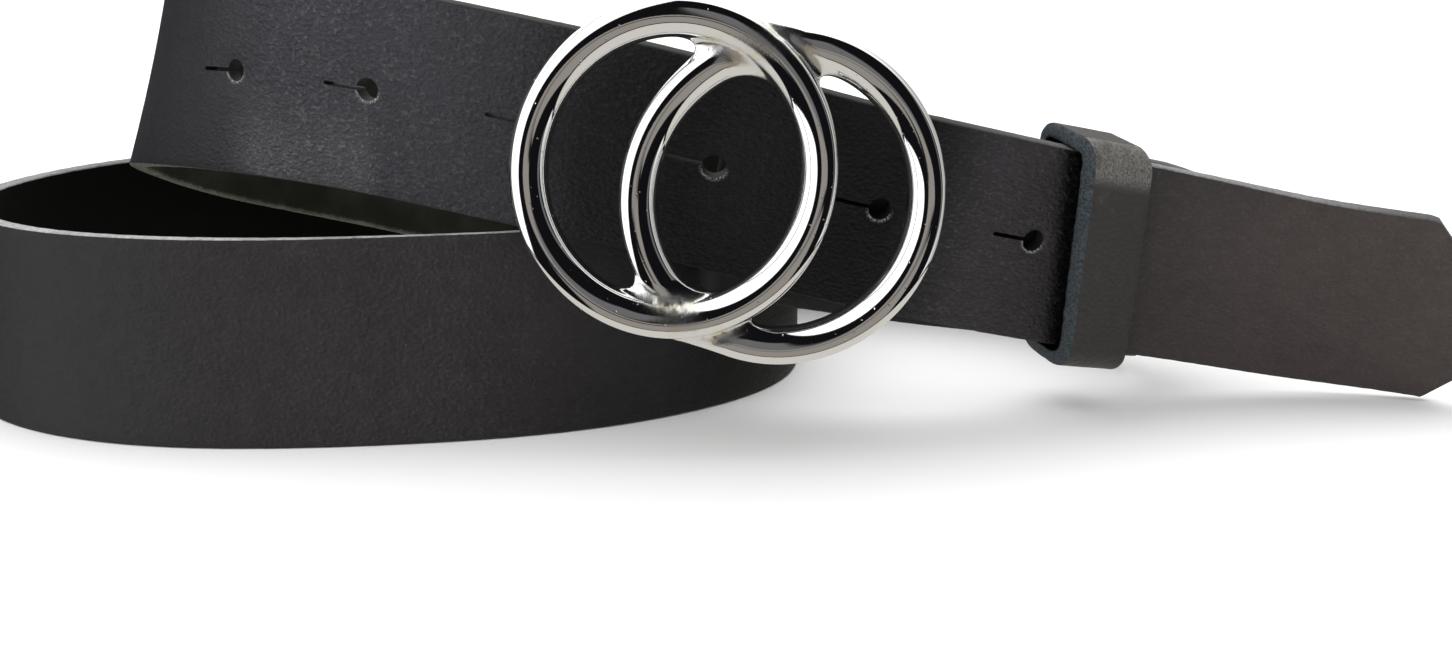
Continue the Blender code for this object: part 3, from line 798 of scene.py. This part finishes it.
def strap_grain():
    material, shader, start = new_shader("strap_grain")
    flat = stored(start, "laid_flat")
    across = flat.part(0)
    along = flat.part(1)
    faded = stored(start, "faded", output=2)
    pebbly = stored(start, "pebbly", output=2)
    broad = speckle(flat, 60, 3.0, 0.6)
    patches = speckle(flat, 260, 3.0, 0.6)
    fine = speckle(flat, 2600, 3.0, 0.6)
    cells = pebbles(stretched(flat, 0.8, 1.0), 1500, 0.25)
    grit = speckle(stretched(flat, 0.7, 1.0), 1700, 2.0, 0.7)
    creases = speckle(stretched(flat, 0.35, 1.0), 620, 4.0, 0.65)
    distance, up = from_nearest_hole(flat)
    rim = distance.below(HOLE_DIAMETER / 2, HOLE_DIAMETER / 2 + RIM_WIDTH) * fine.above(0.42, 0.58)
    rim = rim * up.below(RIM_LOW, RIM_HIGH)
    # Painted shadow: the strap is painted dark in a strip just left of the keeper, where its shadow
    # falls
    beside = along - across * KEEPER_SLOPE - KEEPER_SHADOW_START
    outside_keeper_shadow = start.math("MINIMUM", beside.above(0.0, KEEPER_SHADOW) + beside.below(-0.004, -0.003), 1.0)
    # Painted highlight: the pebbles near the lower edge, where the strap bends into the coil, are
    # painted pale where light would catch them
    painted_shine = along.above(SHINE_FROM - 0.006, SHINE_FROM) * along.below(SHINE_TO - 0.012, SHINE_TO)
    painted_shine = painted_shine * across.below(0.001, SHINE_HEIGHT) * (0.35 + patches * 0.5)
    worn = along.above(WARM_UNTIL, COOL_FROM).blend(GRAIN_WARM, GRAIN_COOL)
    worn = along.above(COOL_UNTIL, BROWN_FROM).blend(worn, GRAIN_BROWN)
    # Painted light and shade: the grain's mottling takes the faded number, which holds painted shade
    # too, and the painted shadow beside the keeper
    mottle_and_painted_light = faded * (0.45 + broad * 0.35 + patches * 0.35 + creases * 0.4) * outside_keeper_shadow
    colour = mottle_and_painted_light.blend(GRAIN_BLACK, worn)
    # Pale specks are partly scuffs on the pebbles and partly painted glints, and the painted shine lies
    # over them
    scuffs_and_painted_glints = grit.above(0.54, 0.68) * (faded * pebbly * 0.28 + painted_shine * 0.9)
    colour = start.math("MINIMUM", scuffs_and_painted_glints + painted_shine * 0.60, 1.0).blend(colour, GRAIN_SCUFF_AND_GLINT)
    colour = rim.blend(colour, RIM_FIBRE)
    feed(shader, "Base Color", colour)
    feed(shader, "Roughness", 0.40 + broad * 0.16 + cells * 0.10)
    feed(shader, "Specular IOR Level", GRAIN_SHEEN)
    height = ((1 - cells) * 0.8 + creases * 0.8 + grit * 1.3) * pebbly + fine * 0.15 + patches * 0.8
    feed(shader, "Normal", bump(height, 0.9, 0.00028))
    return material


def strap_flesh():
    material, shader, start = new_shader("strap_flesh")
    flat = stored(start, "laid_flat")
    nap = speckle(flat, 1500, 4.0, 0.7)
    raw = stored(start, "raw", output=2) * (0.4 + speckle(flat, 90, 3.0, 0.6).above(0.3, 0.8) * 0.6)
    # Loose fibres lie over the lower edge where the flesh is raw
    fringe = flat.part(0) - speckle(flat, 900, 3.0, 0.7) * FRINGE_LENGTH
    colour = raw.blend(FLESH_DARK, FLESH_RAW)
    colour = (fringe.below(-0.0003, 0.0008) * raw).blend(colour, EDGE_RAW)
    feed(shader, "Base Color", colour)
    feed(shader, "Roughness", 0.85)
    feed(shader, "Specular IOR Level", 0.1)
    feed(shader, "Normal", bump(nap, 0.7, 0.00015))
    return material


def strap_edge():
    """Cut edges: pale fibres on the top one, also a painted highlight, a greyer bottom one, and dark
    walls in the keyholes
    """
    material, shader, start = new_shader("strap_edge")
    flat = stored(start, "laid_flat")
    across = flat.part(0)
    along = flat.part(1)
    fibre_and_highlight = stored(start, "edge", output=2)
    raw = stored(start, "raw", output=2)
    strands = speckle(stretched(flat, 0.5, 1.0), 2200, 4.0, 0.7)
    patches = speckle(flat, 160, 3.0, 0.6)
    # The top edge's paleness is pale fibre and a painted highlight together
    shown_fibre_and_highlight = fibre_and_highlight * (0.45 + strands.above(0.30, 0.60) * 0.55) * (0.75 + patches.above(0.30, 0.65) * 0.25)
    colour = shown_fibre_and_highlight.blend(EDGE_DARK, EDGE_FIBRE_AND_HIGHLIGHT)
    bottom = (raw * strands.above(0.25, 0.60)).blend(EDGE_DARK, EDGE_RAW)
    colour = across.above(0.0010, 0.0014).blend(bottom, colour)
    wall = across.above(0.004, 0.005) * across.below(0.030, 0.031) * along.above(0.02, 0.03)
    colour = wall.blend(colour, EDGE_DARK)
    feed(shader, "Base Color", colour)
    feed(shader, "Roughness", 0.55 + strands * 0.25)
    feed(shader, "Specular IOR Level", 0.2)
    feed(shader, "Normal", bump(strands, 0.6, 0.00018))
    return material


spiral = spiral_route()
layer = second_layer(spiral)
route = whole_route(spiral, layer)
strap = add_object("strap_skin", lay_out_strap(route))
punch_holes(strap)
wear_light_and_bend(strap, route)
for surface in (strap_grain(), strap_flesh(), strap_edge()):
    strap.data.materials.append(surface)
strap.data.shade_smooth()
strap.data.set_sharp_from_angle(angle=SHARP_ANGLE)
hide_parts("strap")
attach(strap, "root")

# Keeper
# A loop of thinner leather, butted behind the strap, that holds the free end down. It has slid a
# little askew, its front-left edge is raw and fibrous, and its top fold is scuffed pale and carries a
# painted highlight.
KEEPER_THICKNESS = 0.0025
KEEPER_TWIST = 7.0
KEEPER_TOP_ROUND = 0.0016
KEEPER_LOW_ROUND = 0.0028
KEEPER_SLACK = 0.0004
KEEPER_BEVEL = 0.0006
KEEPER_CELL = 0.0004
OUTER_CELL = 1.5 * KEEPER_CELL
INNER_CELL = 3 * KEEPER_CELL
KEEPER_EDGE_ROUND = 0.00055
KEEPER_TURNS = (10, 40, 70)
CUT_DEPTHS = (-0.6, -0.3, 0.0, 0.3)
KEEPER_ROOM = 6 * GAP
KEEPER_RAGGED = 0.00010
KEEPER_RAGGED_SIZE = 0.003
KEEPER_WAVY = 0.00012
KEEPER_WAVY_SIZE = 0.018
CORNER_POINTS = 12
FLAT_SHARE = 0.93


def loop_path(width, depth, top_radius, low_radius, step):
    """Evenly spaced points round a rectangle with round corners, and their outward directions"""
    points = []
    for quarter in range(4):
        side_x = 1 if quarter in (0, 3) else -1
        side_y = 1 if quarter in (0, 1) else -1
        radius = top_radius if side_x > 0 else low_radius
        for angle in np.linspace(math.pi / 2 * quarter, math.pi / 2 * (quarter + 1), CORNER_POINTS):
            x = side_x * (width / 2 - radius) + radius * math.cos(angle)
            y = side_y * (depth / 2 - radius) + radius * math.sin(angle)
            points.append((x, y))
    points = np.array(points + points[:1])
    run = np.concatenate([[0.0], np.cumsum(np.linalg.norm(np.diff(points, axis=0), axis=1))])
    places = np.linspace(0.0, run[-1], int(run[-1] / step), endpoint=False)
    path = np.stack([np.interp(places, run, points[:, axis]) for axis in range(2)], axis=-1)
    forward = unit(np.roll(path, -1, axis=0) - np.roll(path, 1, axis=0))
    return path, np.stack([forward[:, 1], -forward[:, 0]], axis=-1), places


def keeper_section(half):
    """The loop's leather in section: place along the strap and depth from the leather's middle"""
    thick = KEEPER_THICKNESS / 2
    edge = KEEPER_EDGE_ROUND
    section = []
    turns = np.radians(KEEPER_TURNS)
    for place in np.arange(-half + edge, half - edge, OUTER_CELL):
        section.append((place, thick))
    for angle in turns[::-1]:
        section.append((half - edge + edge * math.cos(angle), thick - edge + edge * math.sin(angle)))
    for depth in CUT_DEPTHS[::-1] + (-1.0,):
        section.append((half + KEEPER_BEVEL * (1 - depth) / 2, thick * depth))
    for place in np.arange(half - edge / 2, -half + edge / 2, -INNER_CELL):
        section.append((place, -thick))
    for depth in CUT_DEPTHS:
        section.append((-half, thick * depth))
    for angle in turns:
        section.append((-half + edge - edge * math.cos(angle), thick - edge + edge * math.sin(angle)))
    return np.array(section)


def make_keeper(spiral):
    layers = 2 * STRAP_THICKNESS + 2 * GAP
    half = KEEPER_LENGTH * STRAP_WIDTH / 2
    twist = math.radians(KEEPER_TWIST)
    drop = LAYER_SINK * half + KEEPER_SLACK
    depth = layers + (math.sin(twist) + LAYER_SPREAD) * 2 * half + KEEPER_ROOM + KEEPER_THICKNESS
    width = STRAP_WIDTH + drop + 2 * GAP + KEEPER_THICKNESS
    rounds = (KEEPER_TOP_ROUND + KEEPER_THICKNESS / 2, KEEPER_LOW_ROUND + KEEPER_THICKNESS / 2)
    path, outward, places = loop_path(width, depth, *rounds, KEEPER_CELL)
    section = keeper_section(half)
    count = len(section)
    across = (path[:, None, 0] + outward[:, None, 0] * section[None, :, 1]).ravel()
    out = (path[:, None, 1] + outward[:, None, 1] * section[None, :, 1]).ravel()
    along = np.tile(section[:, 0], len(path))
    flat = np.stack([along, np.repeat(places, count), np.tile(section[:, 1], len(path))], axis=-1)
    raw = np.abs(along) > half - KEEPER_EDGE_ROUND
    along = along + raw * waves(flat[:, 1:], KEEPER_RAGGED_SIZE, 11) * KEEPER_RAGGED
    along = along + across * KEEPER_SLOPE
    out = out + waves(flat[:, :2], KEEPER_WAVY_SIZE, 12, 2) * KEEPER_WAVY
    bm = bmesh.new()
    verts = [bm.verts.new(point) for point in np.stack([across, along, out], axis=-1)]
    for ring in range(len(path)):
        start = ring * count
        following = (ring + 1) % len(path) * count
        for index in range(count):
            after = (index + 1) % count
            corners = (start + index, start + after, following + after, following + index)
            face = bm.faces.new([verts[corner] for corner in corners])
            depth_share = (section[index] + section[after])[1] / KEEPER_THICKNESS
            face.material_index = 2
            if abs(depth_share) > FLAT_SHARE:
                face.material_index = 0 if depth_share > 0 else 1
    keeper = add_object("keeper_skin", settled_mesh("keeper_skin", bm))
    keep_on_points(keeper.data, "laid_flat", flat)
    centre, forward, upward, outwards = spiral.axes(KEEPER_PLACE * STRAP_WIDTH)
    turned = forward * math.cos(twist) + outwards * math.sin(twist)
    facing = outwards * math.cos(twist) - forward * math.sin(twist)
    middle = centre - outwards * (STRAP_THICKNESS / 2 + GAP) - upward * drop / 2
    keeper.data.transform(axes_matrix(upward, turned, facing, middle))
    return keeper


KEEPER_BLACK = (0.0390, 0.0365, 0.0345, 1)
# The scuff colour also paints the highlight on the top fold
KEEPER_SCUFF_AND_HIGHLIGHT = (0.1850, 0.1770, 0.1650, 1)
KEEPER_EDGE_DARK = (0.022, 0.027, 0.031, 1)
KEEPER_EDGE_FIBRE = (0.070, 0.084, 0.094, 1)
KEEPER_FOLD = 0.0050


def keeper_grain():
    material, shader, start = new_shader("keeper_grain")
    flat = stored(start, "laid_flat")
    broad = speckle(flat, 120, 3.0, 0.6)
    cells = pebbles(flat, 1100, 0.5)
    fine = speckle(flat, 3000, 3.0, 0.6)
    # The top fold is scuffed pale and painted paler as a painted highlight; scattered scuffs lie on the
    # rest
    fold = flat.part(1).below(KEEPER_FOLD, KEEPER_FOLD + 0.003)
    scuffs_and_fold_highlight = start.math("MAXIMUM", broad.above(0.55, 0.8) * 0.6, fold * broad.above(0.25, 0.5))
    colour = (scuffs_and_fold_highlight * (0.25 + fine.above(0.35, 0.65) * 0.75)).blend(KEEPER_BLACK, KEEPER_SCUFF_AND_HIGHLIGHT)
    feed(shader, "Base Color", colour)
    feed(shader, "Roughness", 0.42 + broad * 0.2)
    feed(shader, "Specular IOR Level", GRAIN_SHEEN)
    feed(shader, "Normal", bump((1 - cells) * 0.7 + fine * 0.6, 0.8, 0.00034))
    return material


def keeper_edge():
    material, shader, start = new_shader("keeper_edge")
    flat = stored(start, "laid_flat")
    strands = speckle(stretched(flat, 1.0, 0.5), 2200, 4.0, 0.7)
    feed(shader, "Base Color", strands.above(0.35, 0.65).blend(KEEPER_EDGE_DARK, KEEPER_EDGE_FIBRE))
    feed(shader, "Roughness", 0.7)
    feed(shader, "Specular IOR Level", 0.2)
    feed(shader, "Normal", bump(strands, 0.8, 0.00025))
    return material


# The loop's inner side has no stored rawness, so its flesh stays dark
keeper = make_keeper(spiral)
for surface in (keeper_grain(), strap_flesh(), keeper_edge()):
    keeper.data.materials.append(surface)
keeper.data.shade_smooth()
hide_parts("keeper")
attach(keeper, "root")

# Buckle
# Two round bands cast in zinc alloy as one piece, the left one in front, and plated with chrome.
# A wire behind the right ring holds the strap's fold, and a stud on the left one sits in a hole.
RING_BAND = 0.0059
RING_DEPTH = 0.0046
RING_BACK = 0.28
RING_ALONG = 1.475
RING_ACROSS = 1.545
RING_SPREAD = 0.506
RING_STAND_OFF = 0.270
RING_SINK = 0.030
RING_DROP = 0.018
EXTRA_SINK = 0.0004
CROSSING_SINK = 0.0007
CROSSING_REACH = 0.0060
CROWN_SHIFT = 0.00065
SECTION_POWER = 2.15
FILLET = 0.0048
CROWN_FILLET = 0.0008
FILLET_ROUGH = 0.00016
FILLET_FROM = 0.0004
FILLET_RISE = 0.0018
JOINT_REACH = 0.0010
JOINT_SHOWS = 0.0022
JOINT_GRAIN = 0.0030
BAR_TOP = 1.215
BAR_BOTTOM = 0.060
BAR_FILLET = 0.0010
STUD_DIAMETER = 0.0028
STUD_HEAD = 0.0030
STUD_HEAD_THICK = 0.0016
STUD_CLEAR = 0.0011
STUD_HOLE = 4
CAST_CELL = 0.00038
CAST_FRONT = 0.0045
CAST_MARGIN = 0.004
PROBE = 0.00002
PULLS = 4
LEAST_STEEP = 0.1
BLOCKS = 24

centre, along, across, out = spiral.axes(BUCKLE_PLACE * STRAP_WIDTH)
out = Vector((out.x, out.y, 0.0)).normalized()
along = (along - out * along.dot(out)).normalized()
across = along.cross(out)
half_spread = RING_SPREAD / 2 * STRAP_WIDTH
middle = centre + out * (RING_STAND_OFF * STRAP_WIDTH) - across * (RING_DROP * STRAP_WIDTH)
buckle_place = axes_matrix(across, along, out, middle)
to_buckle = buckle_place.inverted()
ring_high = (RING_ACROSS * STRAP_WIDTH - RING_BAND) / 2
ring_wide = (RING_ALONG * STRAP_WIDTH - RING_BAND) / 2


def band_distance(points, shift):
    """Distance across the band from its middle line, positive outside the ring"""
    x = points[:, 0]
    y = points[:, 1] - shift
    round_it = np.hypot(x / ring_high, y / ring_wide)
    steepness = np.hypot(x / ring_high**2, y / ring_wide**2) / round_it
    return (round_it - 1) / steepness


def ring_field(points, shift, sink):
    """Distance from a ring's surface, negative inside"""
    half_band = RING_BAND / 2
    half_depth = RING_DEPTH / 2
    middle = half_depth - RING_BACK * RING_DEPTH - sink
    rise = points[:, 2] - middle
    side = band_distance(points, shift) - CROWN_SHIFT * rise / half_depth
    spread = np.abs(side / half_band) ** SECTION_POWER + np.abs(rise / half_depth) ** SECTION_POWER
    reach = np.maximum(spread, 1e-9) ** (1 / SECTION_POWER)
    return np.hypot(side, rise) * (1 - 1 / reach)


def rod_field(points, start, end, radius):
    """Distance from a round rod with round ends"""
    start = np.array(start)
    run = np.array(end) - start
    share = np.clip((points - start) @ run / (run @ run), 0.0, 1.0)
    return np.linalg.norm(points - start - share[:, None] * run, axis=1) - radius


def button_field(points, middle, axis, radius, thickness):
    """Distance from a round flat button with a rounded rim"""
    from_middle = points - np.array(middle)
    height = from_middle @ np.array(axis)
    side = np.linalg.norm(from_middle - height[:, None] * np.array(axis), axis=1)
    rim = thickness / 2
    beyond = np.stack([side - radius + rim, np.abs(height)], axis=-1)
    return np.linalg.norm(np.maximum(beyond, 0.0), axis=1) - rim


def run_together(first, second, fillet):
    """The nearer of two fields, with a fillet where they meet"""
    near = np.maximum(fillet - np.abs(first - second), 0.0) / fillet
    return np.minimum(first, second) - near * near * fillet / 4


def bar_points():
    """The wire's four corners in the buckle's axes"""
    wrapped = Vector(layer.base[-1] - layer.out[-1] * WRAP_RADIUS)
    direction = Vector(layer.across[-1])
    shift = half_spread - BAR_PLACE * STRAP_WIDTH
    rise = ring_high * math.sqrt(1 - (shift / ring_wide) ** 2)
    depth = -RING_SINK * STRAP_WIDTH
    top = Vector((rise, shift - half_spread, depth))
    bottom = Vector((-rise, shift - half_spread, depth))
    top_back = to_buckle @ (wrapped + direction * BAR_TOP * STRAP_WIDTH)
    bottom_back = to_buckle @ (wrapped - direction * BAR_BOTTOM * STRAP_WIDTH)
    return top, top_back, bottom_back, bottom


def stud_points():
    """Where the stud leaves the ring's band, where it crosses the hole and where its head sits"""
    height = np.asarray(HOLE_LINE * STRAP_WIDTH)
    crossing = to_buckle @ Vector(spiral.place(HOLE_PLACES[STUD_HOLE - 1], height, np.asarray(0.0)))
    band = Vector((0, half_spread + ring_wide, 0))
    axis = (band - crossing).normalized()
    head = crossing - axis * (STRAP_THICKNESS / 2 + STUD_CLEAR + STUD_HEAD_THICK / 2)
    return band, head, axis


bar_corners = bar_points()
stud_band, stud_head, stud_axis = stud_points()


def cast_fields(points):
    """The front ring's field, and the second's, which dips where it passes behind the first"""
    front = ring_field(points, half_spread, 0.0)
    near = np.clip(1 - np.abs(band_distance(points, half_spread)) / CROSSING_REACH, 0.0, 1.0)
    dip = EXTRA_SINK + CROSSING_SINK * eased(near)
    behind = ring_field(points, -half_spread, RING_SINK * STRAP_WIDTH + dip)
    return front, behind


def buckle_field(points):
    """Both rings with a rough fillet where they meet, the wire bar and the stud"""
    front, behind = cast_fields(points)
    height = np.clip((points[:, 2] - FILLET_FROM) / FILLET_RISE, 0.0, 1.0)
    rings = run_together(front, behind, FILLET + (CROWN_FILLET - FILLET) * eased(height))
    joint = np.exp(-((np.maximum(front, 0) + np.maximum(behind, 0)) / JOINT_REACH) ** 2)
    joint = joint * np.exp(-((np.minimum(np.abs(front), np.abs(behind)) / JOINT_REACH) ** 2))
    rings = rings + joint * waves(points, JOINT_GRAIN, 21) * FILLET_ROUGH
    ends = zip(bar_corners[:-1], bar_corners[1:])
    wire = np.minimum.reduce([rod_field(points, *pair, BAR_DIAMETER / 2) for pair in ends])
    rings = run_together(rings, wire, BAR_FILLET)
    stud = rod_field(points, stud_head, stud_band, STUD_DIAMETER / 2)
    button = button_field(points, stud_head, stud_axis, STUD_HEAD, STUD_HEAD_THICK)
    return run_together(rings, run_together(stud, button, BAR_FILLET / 2), BAR_FILLET)


def slope(field, points):
    """The field's direction of steepest rise at each point, by small steps each way"""
    columns = []
    for axis in range(3):
        step = np.zeros(3)
        step[axis] = PROBE
        columns.append((field(points + step) - field(points - step)) / (2 * PROBE))
    return np.stack(columns, axis=-1)


def skin_field(name, field, low, high, cell):
    """A mesh over the field's zero surface: one point in each cell it crosses, pulled onto it"""
    axes = [np.arange(low[axis], high[axis] + cell, cell) for axis in range(3)]
    shape = tuple(len(axis) for axis in axes)
    grid = np.stack(np.meshgrid(*axes, indexing="ij"), axis=-1).reshape(-1, 3)
    values = np.concatenate([field(block) for block in np.array_split(grid, BLOCKS)]).reshape(shape)
    inside = values < 0
    cells = tuple(size - 1 for size in shape)
    corners = np.zeros(cells, int)
    for dx in (0, 1):
        for dy in (0, 1):
            for dz in (0, 1):
                corners += inside[dx : dx + cells[0], dy : dy + cells[1], dz : dz + cells[2]]
    crossed = (corners > 0) & (corners < 8)
    numbers = np.full(cells, -1)
    numbers[crossed] = np.arange(crossed.sum())
    points = np.argwhere(crossed) * cell + np.array(low) + cell / 2
    faces = []
    for axis in range(3):
        ahead = np.moveaxis(inside, axis, 0)
        order = np.moveaxis(numbers, axis, 0)
        changes = ahead[1:] != ahead[:-1]
        changes = changes[:, 1:-1, 1:-1]
        leaving = ahead[:-1][:, 1:-1, 1:-1][changes]
        quads = [order[:, :-1, :-1][changes], order[:, 1:, :-1][changes]]
        quads += [order[:, 1:, 1:][changes], order[:, :-1, 1:][changes]]
        quads = np.stack(quads, axis=-1)
        flip = leaving == (axis == 1)
        quads[flip] = quads[flip][:, ::-1]
        faces.append(quads)
    for _ in range(PULLS):
        rise = slope(field, points)
        steep = (rise * rise).sum(axis=1)
        points = points - rise * (field(points) / np.maximum(steep, LEAST_STEEP))[:, None]
    mesh = bpy.data.meshes.new(name)
    mesh.from_pydata(points.tolist(), [], np.concatenate(faces).tolist())
    mesh.update()
    mesh.shade_smooth()
    mesh.normals_split_custom_set_from_vertices(unit(slope(field, points)).tolist())
    return mesh, points


def make_buckle():
    high = ring_high + RING_BAND
    wide = ring_wide + half_spread + RING_BAND
    low = (-high, -wide, min(corner.z for corner in bar_corners + (stud_head,)) - CAST_MARGIN)
    mesh, points = skin_field("buckle_skin", buckle_field, low, (high, wide, CAST_FRONT), CAST_CELL)
    front, behind = cast_fields(points)
    joint = np.clip(1.4 - (np.abs(front) + np.abs(behind)) / JOINT_SHOWS, 0.0, 1.0)
    keep_on_points(mesh, "cast_joint", joint)
    mesh.transform(buckle_place)
    return add_object("buckle_skin", mesh)


CHROME_WHITE = (0.87, 0.87, 0.865, 1)
CHROME_YELLOW = (0.83, 0.79, 0.66, 1)


def chrome():
    material, shader, start = new_shader("polished_chrome")
    place = start.node("TexCoord", None, None, output=3)
    joint = stored(start, "cast_joint", output=2)
    pits = pebbles(place, 1100, 0.0)
    chosen = speckle(place, 900, 1.0)
    pitted = pits.below(0.10, 0.22) * chosen.above(0.60, 0.66)
    ripple = speckle(place, 420, 3.0, 0.55)
    rough = speckle(place, 1300, 3.0, 0.6)
    yellow = joint * speckle(place, 300, 2.0).above(0.45, 0.6)
    feed(shader, "Base Color", yellow.blend(CHROME_WHITE, CHROME_YELLOW))
    feed(shader, "Metallic", 1.0)
    feed(shader, "Roughness", 0.040 + joint * 0.28 + pitted * 0.1)
    height = ripple * 0.06 + rough * (0.02 + joint * 0.8) - pitted * 0.8
    feed(shader, "Normal", bump(height, 0.35, 0.00010))
    return material


buckle = make_buckle()
buckle.data.materials.append(chrome())
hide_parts("buckle")
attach(buckle, "root")

# Rivet
# A plain tubular steel rivet that closes the fold behind the free end. Its heads are brushed.
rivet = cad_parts["rivet"]
steel = rivet.data.materials[0]
steel.use_nodes = True
steel_shader = steel.node_tree.nodes["Principled BSDF"]
steel_place = Socket(steel.node_tree).node("TexCoord", None, None, output=3)
brushing = speckle(steel_place, 2400, 3.0, 0.6)
feed(steel_shader, "Base Color", brushing.blend((0.50, 0.50, 0.51, 1), (0.66, 0.66, 0.67, 1)))
feed(steel_shader, "Metallic", 1.0)
feed(steel_shader, "Roughness", 0.22 + brushing * 0.2)
feed(steel_shader, "Normal", bump(brushing, 0.2, 0.00005))
